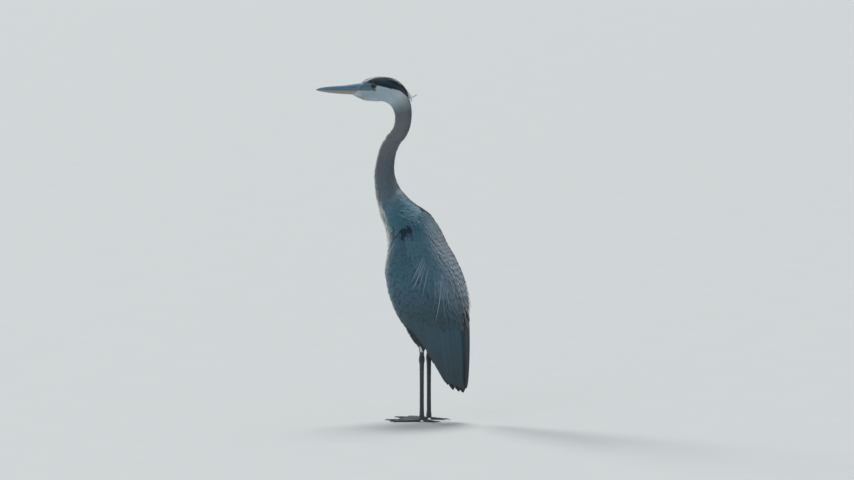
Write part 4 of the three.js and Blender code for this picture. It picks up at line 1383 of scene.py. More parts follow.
def mark_skin(mesh, points):
    """Colours the skin like the coat over it and unwraps it."""
    surfaces = [NECK, BODY, WINGS, *THIGHS.values(), *LEGS.values(), *FEET.values()]
    u, a, number = nearest(points, surfaces)
    tone = np.zeros((len(points), 3))
    bake = np.zeros((len(points), 2))
    for i, surface in enumerate(surfaces):
        mine = number == i
        if not mine.any():
            continue
        tone[mine] = tone_of(surface, u[mine], a[mine], np.random.default_rng(i))
        bake[mine] = on_atlas(surface, u[mine], a[mine])
    c = colours()
    head = (number == 0) & (u < 8)
    bare = np.where(head, bareness(points), 0)
    x, _, z = straight(points)
    jaw = head * (1 - smooth(x, -212, -205)) * (1 - smooth(z, GAPE_Z - 2.5, GAPE_Z - 0.5))
    bare_tone = mixed(c["bill_top"], c["bare"], smooth(x, -200, -182)) * lore_streaks(points)[:, None]
    tone = mixed(mixed(tone * 0.8, c["bill_low"], jaw), bare_tone, bare)
    # The ring round the eye takes the eyelids' dark colour: partly their own dark edge, partly painted shade
    # cast by the lids.
    ring = np.where(head, 1 - smooth(eye_distance(points), 6.6, 9.5), 0)
    tone = mixed(tone, mixed(c["bare"], c["lid"], 1 - smooth(eye_distance(points), 6.6, 8.4)), ring)
    tone = mixed(tone, c["lid"] * 0.5, np.where(head, 0.85 * gape_line(points), 0))
    add_tone(mesh, tone)
    unwrap_skin(mesh, surfaces, number, bake)


SEAM = 0.004  # how far a face may cross the edge of its surface's place on the unwrap


def unwrap_skin(mesh, surfaces, number, bake):
    """Unwraps each face on the surface of its first corner, also where it crosses from one to another."""
    layer = mesh.uv_layers.new(name="OFBake")
    corners = whole_numbers(mesh.loops, "vertex_index")
    starts, totals = (whole_numbers(mesh.polygons, name) for name in ("loop_start", "loop_total"))
    first = np.repeat(corners[starts], totals)
    uv = bake[corners]
    lefts, _, widths, _ = np.array([ATLAS[surface.name] for surface in surfaces]).T
    home = number[first]
    stray = number[corners] != home
    uv[stray] = bake[first][stray]
    across = uv[:, 0] - bake[first][:, 0]
    uv[:, 0] -= np.round(across / widths[home]) * widths[home]
    uv[:, 0] = np.clip(uv[:, 0], lefts[home] - SEAM, lefts[home] + widths[home] + SEAM)
    layer.uv.foreach_set("vector", uv.astype(np.float32).ravel())


# Length and width of the feathers along each surface.
HEAD_SIZE = sizes_along((1.5, 3.2, 1.3), (3, 4.2, 1.6), (4.5, 5.5, 2.0), (6, 8.5, 2.7), (9.4, 12, 3.4))
NECK_SIZE = sizes_along((9, 12, 3.4), (12, 14, 3.9), (16, 17, 4.8), (19, 24, 8), (21, 28, 10))
THIGH_SIZE = sizes_along((0, 18, 6.5), (2, 14, 5), (4, 7, 3.2))
CAPE_SIZE = sizes_along((0.5, 13, 6), (5, 24, 10), (8, 40, 14), (11, 62, 17))
COVERT_SIZE = sizes_along((6, 10, 5.5), (7.5, 17, 8), (9, 34, 12), (11, 62, 17), (12, 84, 20))
CHIN_SIZE, GAPE_SIZE, SLOPE_SIZE, BELLY_SIZE, BREAST_SIZE, VENT_SIZE = (
    (6.5, 1.9), (5.0, 1.7), (25.0, 9.0), (26.0, 9.0), (24.0, 8.0), (30.0, 9.0)
)


def build_head_coat():
    """Fine feathers of the head. They leave the eyes, the bare lores and the bill free."""
    rng = np.random.default_rng(11)
    u, a = roots(NECK, 1.7, 9.6, ALL_ROUND, HEAD_SIZE, rng, 0.34, 0.64)
    spots = NECK.at(u, a)
    behind = smooth(straight(spots)[0], EYE_X, EYE_X + 5)
    keep = eye_distance(spots) > LID_REACH + 0.8 - 1.8 * behind
    keep &= bareness(spots) < rng.uniform(0.2, 0.8, len(u))
    bill_root = np.interp(np.abs(a), (0, 50, 75, 110, 180), (2.9, 2.75, 2.3, 1.9, 1.75))
    keep &= u > bill_root + rng.uniform(-0.15, 0.15, len(u))
    keep &= (gape_line(spots) < 0.6) | (u > 4.6)
    u, a = u[keep], a[keep]
    length, width = HEAD_SIZE(u)
    depth = coat_depth(u)
    tone = tone_ahead(NECK, u, a, length, rng)
    coat = Coat(3, 2)
    coat.lay(NECK, u, a, length, width, -depth - 0.2, -0.15 * depth, tone, rng,
             wander=6, point=0.5, fray=0.06, tilt=0.15)
    coat.piece("head_feathers", "fine feathers", "white", "head")
    build_chin_coat(rng)


def build_chin_coat(rng):
    """Feathers of the chin: on the root of the bill, beside it on the head, and scattered behind both."""
    chin = Coat(4, 2, 1.5)

    def lay(surface, length, width, root, out, point, tilt=0.3):
        white = tone_of(CHIN, u, a, rng)
        chin.lay(surface, u, a, length, width, root, out, white, rng,
                 wander=5, point=point, fray=0.06, tilt=tilt)

    u, a = roots(CHIN, 5.85, 7.9, (95, 265), CHIN_SIZE, rng, 0.22, 0.55)
    reach = np.interp(u, (5.85, 6.4, 7.3, 7.9), (30, 60, 80, 85))
    keep = np.abs(a - 180) < reach * rng.uniform(0.75, 1.05, len(u))
    u, a = u[keep], a[keep]
    under = 1 - smooth(np.abs(a - 180), 20, 60)
    out = np.interp(u, (5.85, 6.6, 7.9), (0.9, 3.6, 4.4)) * (0.3 + 0.7 * under)
    out = out * rng.uniform(0.7, 1.2, len(u))
    lay(CHIN, rng.uniform(6, 10, len(u)), 2.1, -0.3, out, 0.6)

    u, a = roots(NECK, 0.72, 1.95, (72, 288), GAPE_SIZE, rng, 0.25, 0.58)
    x, _, z = straight(NECK.at(u, a))
    keep = (z < GAPE_Z - 1.5) & (x > -213 + 0.5 * (z - 940) + rng.uniform(-3, 3, len(u)))
    u, a = u[keep], a[keep]
    under = 1 - smooth(np.abs(a - 180), 15, 60)
    out = 0.3 + np.interp(u, (0.7, 1.3, 1.95), (1.8, 3.6, 4.4)) * under * rng.uniform(0.6, 1.1, len(u))
    lay(NECK, rng.uniform(5, 7, len(u)) + 3 * under, 1.8, -1.2, out, 0.4, 0.12)

    count = 900
    u = rng.uniform(1.7, 5.4, count)
    a = 180 + np.clip(rng.normal(0, 20, count), -38, 38)
    out = np.interp(u, (1.7, 2.4, 3.4, 5.4), (4.2, 3.6, 1.4, 0.2)) * rng.uniform(0.4, 1, count)
    lay(NECK, rng.uniform(8, 12, count), 2.6, -1.6, out, 0.6)
    chin.piece("chin_feathers", "fine feathers", "white", "head")


def build_neck_coat():
    """Feathers of the neck, and those of the slope from it over the shoulders."""
    rng = np.random.default_rng(12)
    u, a = roots(NECK, 9.3, 20.8, ALL_ROUND, NECK_SIZE, rng, 0.34, 0.64)
    length, width = NECK_SIZE(u)
    depth = coat_depth(u)
    coat = Coat(4, 2)
    over = smooth(u, 17.2, 19) * (1 - smooth(np.abs(a), 110, 135))
    tone = tone_ahead(NECK, u, a, length, rng)
    length, tip = length * (1 + 0.4 * over), -0.15 * depth + 2.5 * over
    coat.lay(NECK, u, a, length, width, -depth - 0.3, tip, tone, rng,
             wander=5, point=0.6, camber=0.03, fray=0.08)
    u, a = roots(SLOPE, 0.0, 0.78, (-172, 172), SLOPE_SIZE, rng, 0.24, 0.55)
    length = np.minimum(rng.uniform(20, 30, len(u)), (0.99 - u) * 95)
    past = SLOPE.ahead(u, a, 0.7 * length)
    start, end, side = skirt_ends(a)
    on_neck = tone_of(NECK, start + (20.4 - start) * past, a, rng)
    on_wing = tone_of(WINGS, end, np.sign(a) * side, rng)
    # The slope's feathers over the shoulders are darkened like the shoulders below them: painted shade.
    shoulder_shade = smooth(past, 0.1, 0.5) * (1 - smooth(np.abs(a), 112, 128))
    on_neck = mixed(on_neck, on_neck * SHOULDER_SHADE, shoulder_shade)
    on_wing = mixed(on_wing, bib_tone(u, a, rng), smooth(np.abs(a), 122, 142))
    tip = rng.uniform(0.1, 0.6, len(u))
    tone = mixed(on_neck, on_wing, smooth(past, 0.35, 0.9))
    coat.lay(SLOPE, u, a, length, SLOPE_SIZE[1], -2.2, tip, tone, rng,
             wander=5, point=0.3, camber=0.02, fray=0.04, tilt=0.4)
    nodes = ("neck_upper", "neck_bend", "neck_middle", "neck_base")
    coat.piece("neck_feathers", "neck feathers", "neck", *nodes)


# Course of the raised ends of the crown plumes: x, y on the left side measured outwards, z and radius.
FLICK = np.array([(-68, 5, 948, 1.2), (-54, 6, 938, 1.2), (-39, 6, 939, 1.0), (-23, 4, 947.5, 0.6)])
FLICK_LOW = np.array([(-60, 6, 942, 1.0), (-50, 7, 936, 1.0), (-43, 7, 928, 0.8), (-42, 6, 922, 0.6)])
# The vanes along each course: their stations and lengths, and the breadth, lift and point of them all.
FLICKS = (
    (FLICK, (0.02, 0.3, 0.6), (52, 36, 22), 8.5, 0.6, 0.2),
    (FLICK_LOW, (0.02, 0.4), (26, 18), 6.0, 0.5, 0.6),
)
FLICK_TURNS = (90.0, -90.0, 80.0)
# The longest plumes of one side: station, degrees, length, lift of the tip and paleness.
CROWN_PLUMES = np.array([
    (7.7, 13, 58, 11, 0.7), (7.9, 9, 50, 6, 0.3), (8.05, 12, 46, 7, 0.3), (8.2, 7, 40, 4, 0.6),
    (8.3, 10, 34, 3, 0.1),
])


def build_crown_plumes():
    """Black feathers of the hind crown that end in long plumes, which lift off the nape."""
    rng = np.random.default_rng(13)
    c = colours()
    coat = Coat(12, 2)
    count = 30
    # The warm white of the raised ends is lifted 1.15 times over, as painted light on them.
    pale = 1.15 * mixed(c["warm"], c["white"], 0.5)
    for sign in SIDES.values():
        u = rng.uniform(6.4, 8.2, count)
        a = sign * np.interp(u, (6.4, 8.2), (30, 10)) * rng.uniform(0.5, 1.4, count)
        length, tip = rng.uniform(22, 40, count), rng.uniform(0.8, 3, count)
        black = np.tile(c["black"], (count, 1))
        coat.lay(NECK, u, a, length, 3.2, -0.3, tip, black, rng, -sign * 5.0, point=1.0, fray=0.04)
        u, a, length, tip, share = CROWN_PLUMES.T
        tone = mixed(c["black"], c["plume"], share)
        coat.lay(NECK, u, sign * a, length, 3.2, 0, tip, tone, rng, -sign * 6, point=0.8, fray=0.04, bow=2.2)
        for course, stations, lengths, width, lift, point in FLICKS:
            flick = Surface("flick", limb_point(course, sign), 3, 60)
            total = len(stations)
            tone = np.tile(pale, (total, 1))
            u, a = np.array(stations), np.array(FLICK_TURNS[:total])
            coat.lay(flick, u, a, lengths, width, 0, lift, tone, rng,
                     point=point, fray=0.04, own_map=(0, total))
    coat.piece("crown_plumes", "black plumes", "black", "crown_plume_left", "crown_plume_right")


def build_body_coat():
    """Feathers of the breast, belly and thighs."""
    rng = np.random.default_rng(14)
    lay_belly(rng)
    lay_thighs(rng)


def lay_belly(rng):
    """Feathers of the belly, and over them those of the breast."""
    depth = coat_size("body_coat")
    length, width = BELLY_SIZE
    end = level_of(TRUNK, 222)
    coat = Coat(5, 2)
    u, a = roots(BODY, level_of(TRUNK, 575), end, (110, 250), BELLY_SIZE, rng, 0.34, 0.6)
    varied = length * rng.uniform(0.8, 1.2, len(u))
    tone = tone_ahead(BODY, u, a, length, rng)
    coat.lay(BODY, u, a, varied, width, -depth, 0.4, tone, rng, wander=6, point=0.7, fray=0.1)
    u, a = roots(BODY, level_of(TRUNK, 290), end, (-110, 110), BELLY_SIZE, rng, 0.3, 0.6)
    tone = body_tone(u, a, rng)
    coat.lay(BODY, u, a, length, width, -depth, 0.4, tone, rng, wander=6, point=0.7, fray=0.1)

    length, width = BREAST_SIZE
    u, a = roots(WINGS, 6.3, 10.0, (100, 260), BREAST_SIZE, rng, 0.25, 0.55)
    warm = mixed(bib_tone(u, a, rng), body_tone(level_of(TRUNK, 520) + 0 * u, a, rng), smooth(u, 8.4, 9.4))
    tone = mixed(warm, tone_ahead(WINGS, u, a, length, rng), smooth(np.abs(a - 180), 28, 44))
    varied = length * rng.uniform(0.8, 1.2, len(u))
    tip = -0.7 - 3 * smooth(u, 9.3, 10.0)
    coat.lay(WINGS, u, a, varied, width, -9, tip, tone, rng, wander=6, point=0.5, camber=0.03, fray=0.06)
    coat.piece("belly_feathers", "belly feathers", "black", "trunk")


def lay_thighs(rng):
    """Loose feathers of the thighs, with a pale tuft above each hock."""
    legs = Coat(4, 2)
    white = np.tile(colours()["white"], (2, 1))
    for side, sign in SIDES.items():
        thigh = THIGHS[side]
        u, a = roots(thigh, 0.5, 3.75, ALL_ROUND, THIGH_SIZE, rng, 0.34, 0.62)
        root = -3.6 + 1.6 * smooth(u, 2.5, 3.6)
        tone = tone_of(thigh, u, a, rng)
        legs.lay(thigh, u, a, *THIGH_SIZE(u), root, -0.3, tone, rng, wander=6, point=0.6, fray=0.1)
        tuft_u, tuft_a = np.array((2.95, 3.05)), sign * np.array((104.0, 112.0))
        turn = -sign * 16.0
        legs.lay(thigh, tuft_u, tuft_a, (30, 22), 6.5, -1.0, 2.2, white, rng, turn, point=0.5, fray=0.06)
    legs.piece("thigh_feathers", "thigh feathers", "thigh", "thigh_left", "thigh_right")


def build_bib():
    """Long loose plumes that hang from the lower foreneck."""
    rng = np.random.default_rng(15)
    coat = Coat(9, 2)
    count = 190
    u, a = rng.uniform(0.0, 1.5, count), rng.uniform(85, 275, count)
    length, width = rng.uniform(48, 84, count), rng.uniform(2.8, 4.6, count)
    root, tip = rng.uniform(-5, -2, count), rng.uniform(-1.5, 0.6, count)
    coat.lay(BREAST, u, a, length, width, root, tip, bib_tone(u, a, rng), rng, wander=4, point=0.95)
    u, a = rng.uniform(18, 20, count), rng.uniform(112, 248, count)
    length, tip = rng.uniform(30, 52, count), rng.uniform(0, 1.6, count)
    coat.lay(NECK, u, a, length, width, -1.5, tip, bib_tone(u, a, rng), rng, wander=4, point=0.95)
    coat.piece("neck_plume_feathers", "bib plumes", "white", "neck_plumes")


def build_vent():
    """White feathers under the tail."""
    rng = np.random.default_rng(16)
    coat = Coat(6, 2)
    u, a = roots(VENT, 0.0, 2.6, ALL_ROUND, VENT_SIZE, rng, 0.3, 0.6)
    tone = np.tile(colours()["white"] * 0.9, (len(u), 1))
    length = rng.uniform(24, 36, len(u))
    coat.lay(VENT, u, a, length, VENT_SIZE[1], -4, 0, tone, rng, wander=5, point=0.7, fray=0.1)
    coat.piece("vent_feathers", "vent feathers", "white", "under_tail_coverts")


def limit(column, share=1.0):
    """How far round the plumage a column of its table reaches, as an even angle."""
    return lambda u: float(WINGS.even(u, share * along(PLUMAGE, u)[column]))


CAPE_Z = 405  # height of the last roots of the cape


def back_coat(name, node, start, span, rng, sign=1):
    """The feathers of the mantle or of one shoulder."""
    coat = Coat(5, 4, 1.8)
    u, a = roots(WINGS, start, level_of(PLUMAGE, CAPE_Z), span, CAPE_SIZE, rng, 0.3, 0.58)
    a = a * sign
    length, width = CAPE_SIZE(u)
    root = np.interp(u, (0.5, 3, 6), (-3.6, -3.8, -4.2))
    tip = np.interp(u, (0.5, 3, 6), (0.2, 0.5, 0.9))
    tone = tone_ahead(WINGS, u, a, length, rng)
    coat.lay(WINGS, u, a, length, width, root, tip, tone, rng, wander=3, point=0.2, camber=0.012, fray=0.03,
             tilt=sign * 0.4)
    coat.piece(name, "back feathers", "slate", node)


def build_cape():
    """Mantle and shoulder feathers, and over them the long pale plumes."""
    rng = np.random.default_rng(17)
    inner, outer = limit(CAPE, 0.46), limit(CAPE)
    back_coat("mantle_feathers", "mantle", 0.35, lambda u: (-inner(u), inner(u)), rng)
    for side, sign in SIDES.items():
        node = f"scapular_plumes_{side}"
        back_coat(f"shoulder_feathers_{side}", node, 0.8, lambda u: (0.95 * inner(u), outer(u)), rng, sign)
        long_plumes(f"long_plumes_{side}", node, sign, rng)


# Long plumes of one shoulder: station and degrees of root and tip, and how pale it is.
PLUMES = np.array([
    (8.5, 62, 10.2, 96, 0.8), (8.8, 63, 10.5, 90, 1), (8.6, 60, 10.0, 91, 0.4), (9.1, 58, 10.6, 78, 0.3),
    (9.6, 45, 11.8, 59, 1), (9.9, 44, 11.5, 59, 0.4), (9.9, 43, 11.3, 41, 0.7), (9.6, 38, 11.4, 45, 0.15),
    (9.2, 33, 11.5, 29, 0.2), (9.1, 50, 11.5, 67, 0.1), (8.8, 66, 9.8, 98, 0.2), (9.4, 26, 11.4, 18, 0.1),
    (8.7, 64, 10.35, 93, 0.55), (8.9, 61, 10.45, 86, 0.65), (8.65, 60, 10.1, 83, 0.35),
    (9.0, 59, 10.8, 82, 0.5), (9.3, 52, 11.2, 66, 0.3), (9.7, 46, 11.6, 53, 0.35),
])


def long_plumes(name, node, sign, rng):
    """Narrow drawn-out plumes that fan from the shoulder over the wing."""
    c = colours()
    plumes = Coat(16, 2)
    count = len(PLUMES)
    u, a, tip_u, tip_a, pale = PLUMES.T
    run = np.interp(tip_u, WINGS.stations, WINGS.run) - np.interp(u, WINGS.stations, WINGS.run)
    beside = (tip_a - a) * WINGS.round_at((u + tip_u) / 2)
    tone = mixed(c["slate"], c["plume"], 0.1 + 0.75 * pale)
    tip_tone = mixed(tone, c["white"], 0.4 * pale)
    length, width, tip = np.hypot(run, beside), 2.3 + 0.7 * (1 - pale), 3.4 + 1.4 * pale
    turn, bend = sign * np.degrees(np.arctan2(beside, run)), sign * rng.normal(0, 3, count)
    plumes.lay(WINGS, u, sign * a, length, width, -2.5, tip, tone, rng, turn, bend=bend, point=0.85,
               camber=0.07, fray=0.03, own_map=(0, count), tip_tone=tip_tone, bow=0.45)
    plumes.piece(name, "long plumes", "plume", node)


def plumb(u, a, there):
    """The angle that keeps a feather of the folded wing hanging straight down from its root."""
    row = along(PLUMAGE, there)
    share = np.clip((WINGS.read(u, a)[..., 0] - row[..., 1]) / row[..., 2], -0.999, 0.999)
    angle = np.degrees(np.arccos(np.sign(share) * np.abs(share) ** (PLUMAGE_POWER / 2)))
    return a + (np.sign(a) * WINGS.even(there, angle) - a) * smooth(np.abs(a), 25, 55)


def tip_height(u, a, margin, lowest):
    """The height at which a straight feather reaches the slanting front edge of the folded wing."""
    front = PLUMAGE[:, 1] - PLUMAGE[:, 2]
    lower = PLUMAGE[:, 0] < 400
    return np.maximum(np.interp(WINGS.read(u, a)[..., 0] - margin, front[lower], PLUMAGE[lower, 0]), lowest)


def flight_roots(count, sign, height, first, spread, margin, lowest):
    """Shares, stations and angles of a fan of flight feathers that start at one height, and their lengths."""
    share = (np.arange(count) + 0.3) / count
    u, a = level_of(PLUMAGE, height) + 0 * share, sign * (first + share * spread)
    return share, u, a, height - tip_height(u, a, margin, lowest)


FLIGHT_WIDTH = 30
FLIGHT = {"point": 0.08, "camber": 0.012, "fray": 0.003, "path": plumb}
COVERT_TOP, COVERT_END = level_of(PLUMAGE, 583), level_of(PLUMAGE, 322)


def lay_coverts(side, sign, rng):
    """Coverts, in rows that end over the secondaries."""
    wing, cape = limit(WING), limit(CAPE, 0.7)

    def span(u):
        return float(np.interp(u, (8.6, 9.6), (cape(u), 1))), wing(u)

    coverts = Coat(5, 4, 1.8)
    u, a = roots(WINGS, COVERT_TOP, COVERT_END, span, COVERT_SIZE, rng, 0.27, 0.6)
    keep = rng.random(len(u)) > 0.55 * smooth(u, 10.8, COVERT_END)
    u, a = u[keep], a[keep] * sign
    length, width = COVERT_SIZE(u)
    length = length * rng.uniform(0.8, 1.15, len(u))
    turn = sign * 10 * smooth(np.abs(a), 120, 150) + rng.normal(0, 2.5, len(u))
    tone = tone_ahead(WINGS, u, a, length, rng)
    tip = -0.4 - 1.4 * smooth(u, 10.5, COVERT_END)
    coverts.lay(WINGS, u, a, length, width, -8.5, tip, tone, rng, -turn, point=0.12, camber=0.012, fray=0.02,
                tilt=sign * 0.4, lively=0.035)
    coverts.piece(f"covert_feathers_{side}", "wing coverts", "slate", f"wing_coverts_{side}")


def lay_secondaries(side, sign, rng):
    """Secondaries, which hang straight down over the primaries."""
    c = colours()
    secondaries = Coat(18, 4, 1.8)
    count = 21
    share, u, a, length = flight_roots(count, sign, 345, 3, 138, 5, 90)
    length = length + rng.uniform(-3, 3, count)
    # Painted shade: the innermost secondaries darken to the primaries' colour along the shaded gap between
    # the wings.
    inner_shade = 1 - smooth(np.abs(a), BACK_SHADE_EDGE - 4, BACK_SHADE_EDGE + 4)
    root_tone = np.tile(mixed(c["low_slate"], c["slate"], 0.4), (count, 1))
    tip_tone = mixed(1.15 * mixed(c["low_slate"], c["flight"], 0.4 * share), c["primary"], inner_shade)
    tone = mixed(root_tone, c["primary"], 0.8 * inner_shade)
    secondaries.lay(WINGS, u, a, length, FLIGHT_WIDTH, -7, -1.8, tone, rng,
                    own_map=(0, count), tip_tone=tip_tone, tilt=sign, bow=0.35, lively=0.03, **FLIGHT)
    secondaries.piece(f"secondary_feathers_{side}", "flight feathers", "flight", f"secondaries_{side}")


def lay_primaries(side, sign, rng):
    """Primaries, which show under the secondaries at the tip."""
    c = colours()
    primaries = Coat(18, 4, 1.8)
    count = 15
    _, u, a, length = flight_roots(count, sign, 310, 4, 134, -3, 80)
    tone = np.tile(mixed(c["primary"], c["flight"], 0.3), (count, 1))
    primaries.lay(WINGS, u, a, length, FLIGHT_WIDTH, -12, -4.4, tone, rng,
                  own_map=(0, count), tilt=sign * 0.8, **FLIGHT)
    primaries.piece(f"primary_feathers_{side}", "flight feathers", "primary", f"primaries_{side}")


def build_wings():
    """Coverts, secondaries and primaries of both folded wings."""
    for number, (side, sign) in enumerate(SIDES.items()):
        rng = np.random.default_rng(20 + number)
        for lay in (lay_coverts, lay_secondaries, lay_primaries):
            lay(side, sign, rng)


TAIL_TOP, TAIL_END = (21, 88, 228), (11, 112, 96)  # half breadth, x and z of its root and end
TAIL_THICKNESS = 4


def tail_point(u, degrees):
    """The tail as a thin flat fold of feathers; u runs from 0 to 1 down it."""
    half, x, z = (first + (last - first) * u for first, last in zip(TAIL_TOP, TAIL_END))
    thin = 0 * half + TAIL_THICKNESS / 2
    centre = np.stack([x, 0 * x, z], -1)
    return oval(centre, LEFT, np.array((1, 0, 0.18)), half, thin, thin, 2, degrees)


def build_tail():
    """Tail feathers on both faces of the flat form."""
    rng = np.random.default_rng(30)
    surface = Surface("tail", tail_point, 1, 60)
    count = 8
    tail = Coat(14, 4)
    share = (np.arange(count) + 0.5) / count * 2 - 1
    off = np.abs(share)
    tone = np.tile(colours()["flight"], (count, 1))
    faces = ((0, 0, 130, -1.5 + 1.5 * off, off - 1), (count, 180, 128, 1 - off, 1 - off))
    for first, middle, longest, root, tip in faces:
        a, length = middle + 70 * share, longest - 9 * off
        tail.lay(surface, 0 * share + 0.02, a, length, 16, root, tip, tone, rng,
                 point=0.2, camber=0.02, fray=0.01, own_map=(first, 2 * count))
    tail.piece("tail_feathers", "flight feathers", "flight", "tail")


def build_bill():
    """Both halves of the bill, each a closed tube of horn."""
    halves = (
        ("bill_top", "upper bill horn", "upper_bill", "bill_upper", 0.75, 1.3, 0.36),
        ("bill_bottom", "lower bill horn", "lower_bill", "bill_lower", 0.8, 1.25, 0.4),
    )
    for name, horn, slot, node, dark, pale, roughness in halves:
        is_upper = name == "bill_top"
        tint = "bill_top" if is_upper else "bill_low"
        material = horn_material(horn, stage_colour(tint, dark), stage_colour(tint, pale), roughness)
        bm = bmesh.new()
        add_sleeve(bm, Surface(name, bill_point(is_upper), 8, 500), 0.0, 8.0, 170, 120)
        add_piece(name, mesh_of(bm, name), material, slot, node)


PUPIL, IRIS = 3.3, 5.4  # radii across the ball of the eye
CORNEA = 0.45


def build_eyes():
    """Two balls, each with a cornea that bulges over the iris."""
    material = eye_material()
    for side, sign in SIDES.items():
        centre, outwards, forwards, up = eye_axes(sign)
        bm = bmesh.new()
        bmesh.ops.create_uvsphere(bm, u_segments=48, v_segments=40, radius=EYE_RADIUS)
        gaze = []
        for vertex in bm.verts:
            x, y, z = vertex.co
            spread = float(np.hypot(x, y))
            if z > 0:
                bulge = CORNEA * (1 - float(smooth(spread, 2, IRIS + 0.8)))
                z += bulge
            vertex.co = Vector(centre + forwards * x + up * y + outwards * z)
            ray = np.arctan2(y, x)
            gaze.append((4 * cos(ray), 4 * sin(ray), spread if z > 0 else EYE_RADIUS))
        mesh = mesh_of(bm, f"eye_{side}_ball")
        layer = mesh.attributes.new("gaze", "FLOAT_VECTOR", "POINT")
        layer.data.foreach_set("vector", np.array(gaze, np.float32).ravel())
        add_piece(f"eye_ball_{side}", mesh, material, "eye", f"eye_{side}")


def scale_shape():
    """One low six-sided scale with a domed crown, in the same terms as a vane."""
    bm = bmesh.new()
    ring = bmesh.ops.create_circle(bm, cap_ends=True, segments=6, radius=1)["verts"]
    face = ring[0].link_faces[0]
    for thickness in (0.3, 0.25):
        bmesh.ops.inset_individual(bm, faces=[face], thickness=thickness)
    for vertex in bm.verts:
        reach = vertex.co.to_2d().length
        vertex.co.z = 0 if reach > 0.95 else (0.75 if reach > 0.55 else 1.0)
    bmesh.ops.poke(bm, faces=[face])
    bmesh.ops.triangulate(bm, faces=bm.faces)
    return Shape(bm, lambda edge: False)


# Height and breadth of the scales.
SCALE, SHIN_PLATE, TOE_PLATE, TOE_SCALE = (2.9, 3.1), (4.9, 7.8), (3.1, 5.6), (2.6, 3.2)
LOW_LIFT, SCALE_LIFT, PLATE_LIFT = 0.6, 0.62, 0.75  # how far their crowns stand out of the bed
SCALE_BED = -0.5


def lay_scales(shape, surface, u, a, tall, wide, lift, rng):
    """Points, tones, vanes and unwraps of scales at stations and angles of a surface."""
    u, a, tall, wide = (np.broadcast_to(v, np.shape(u))[:, None] for v in (u, a, tall, wide))
    across, ahead = shape.across[None] * wide / 2, shape.along[None] * tall / 2
    ahead_u = ahead / np.maximum(surface.read(u, a)[..., 6], 1e-3)
    out = SCALE_BED + lift * shape.side[None] + 0 * ahead
    points = surface.at(u + ahead_u, a + across / surface.round_at(u), out)
    reach = np.hypot(shape.across, shape.along)[None] + 0 * ahead
    tone = leg_tone(u, a, rng) * rng.normal(1, 0.1, (len(u), 1, 1)) + 0 * points
    patch = np.stack([shape.across, shape.along], -1)[None] * PATCH / 2
    return points, tone, np.stack([across, ahead, reach], -1), on_atlas(surface, u, a) + patch


def build_scales():
    """Scales of legs and toes: broad plates down the shin and over the toes, small ones elsewhere."""
    rng = np.random.default_rng(40)
    shape = scale_shape()
    parts = []
    for side in SIDES:
        leg = LEGS[side]
        u, a = roots(leg, 0.9, 11.2, (-140, 140), (2.9, 3.0), rng, 0.78, 0.86)
        parts.append(lay_scales(shape, leg, u, a, *SCALE, SCALE_LIFT, rng))
        down = np.arange(1.2, 11.0, 0.1)
        gaps = leg.read(down, 0 * down + 180)[:, 6] * 0.1
        rows = np.interp(np.arange(0, gaps.sum(), 4.2), np.cumsum(gaps), down)
        parts.append(lay_scales(shape, leg, rows, 180, *SHIN_PLATE, PLATE_LIFT, rng))
        for toe in TOES:
            rows = np.arange(0.04, 0.985, 2.7 / TOES[toe][0])
            places = [(0, TOE_PLATE[0], TOE_PLATE[1] - 1.6 * rows, PLATE_LIFT)]
            for edge in (-62, 62, -105, 105):
                places.append((edge, TOE_SCALE[0], TOE_SCALE[1] - 0.9 * rows, LOW_LIFT))
            for angle, tall, wide, lift in places:
                parts.append(lay_scales(shape, FEET[side, toe], rows, angle, tall, wide, lift, rng))
    points, *rest = joined(parts)
    points[..., 2] = np.maximum(points[..., 2], 0)
    mesh = joined_mesh("leg_scales", shape, points, *rest)
    nodes = [f"{part}_{side}" for side in SIDES for part in ("shank", "hock", "tarsus", "ankle")]
    nodes += [f"toe_{toe}_{side}" for side in SIDES for toe in TOES]
    add_piece("leg_scales", mesh, scale_material(), "leg", *nodes)


CLAW_HEIGHTS, CLAW_RADII = (2.1, 3.1, 2.7, 1.0), (2.0, 1.75, 1.25, 0.35)
CLAW_ROOT = 1.2  # how far a claw starts inside its toe


def claw_point(sign, length, turn, claw):
    """A hooked claw at the end of a toe; u counts its four stations."""
    way = toe_way(sign, turn)
    left = np.array((-way[1], way[0], 0.0))
    start = np.array((LEG_X, -sign * LEG_SPREAD, 0)) + way * (TOE_ROOT + length - CLAW_ROOT)
    places = [(start + way * (claw + 2) * i / 3)[:2] for i in range(4)]
    stations = np.array([(*place, z, r) for place, z, r in zip(places, CLAW_HEIGHTS, CLAW_RADII)])

    def point(u, degrees):
        row = along(stations, u)
        radius = row[..., 3]
        return oval(row[..., :3], left, UP, 0.8 * radius, radius, radius, 2, degrees)

    return point


def build_claws():
    """One claw at the end of each toe."""
    material = claw_material()
    for side, sign in SIDES.items():
        for toe, (length, turn, _, claw) in TOES.items():
            surface = Surface(f"claw_{toe}_{side}", claw_point(sign, length, turn, claw), 3, 60)
            bm = bmesh.new()
            add_sleeve(bm, surface, 0, 3, 28, 20)
            keep_above_floor(bm)
            name = f"claw_horn_{toe}_{side}"
            add_piece(name, mesh_of(bm, name), material, "claw", f"claw_{toe}_{side}")


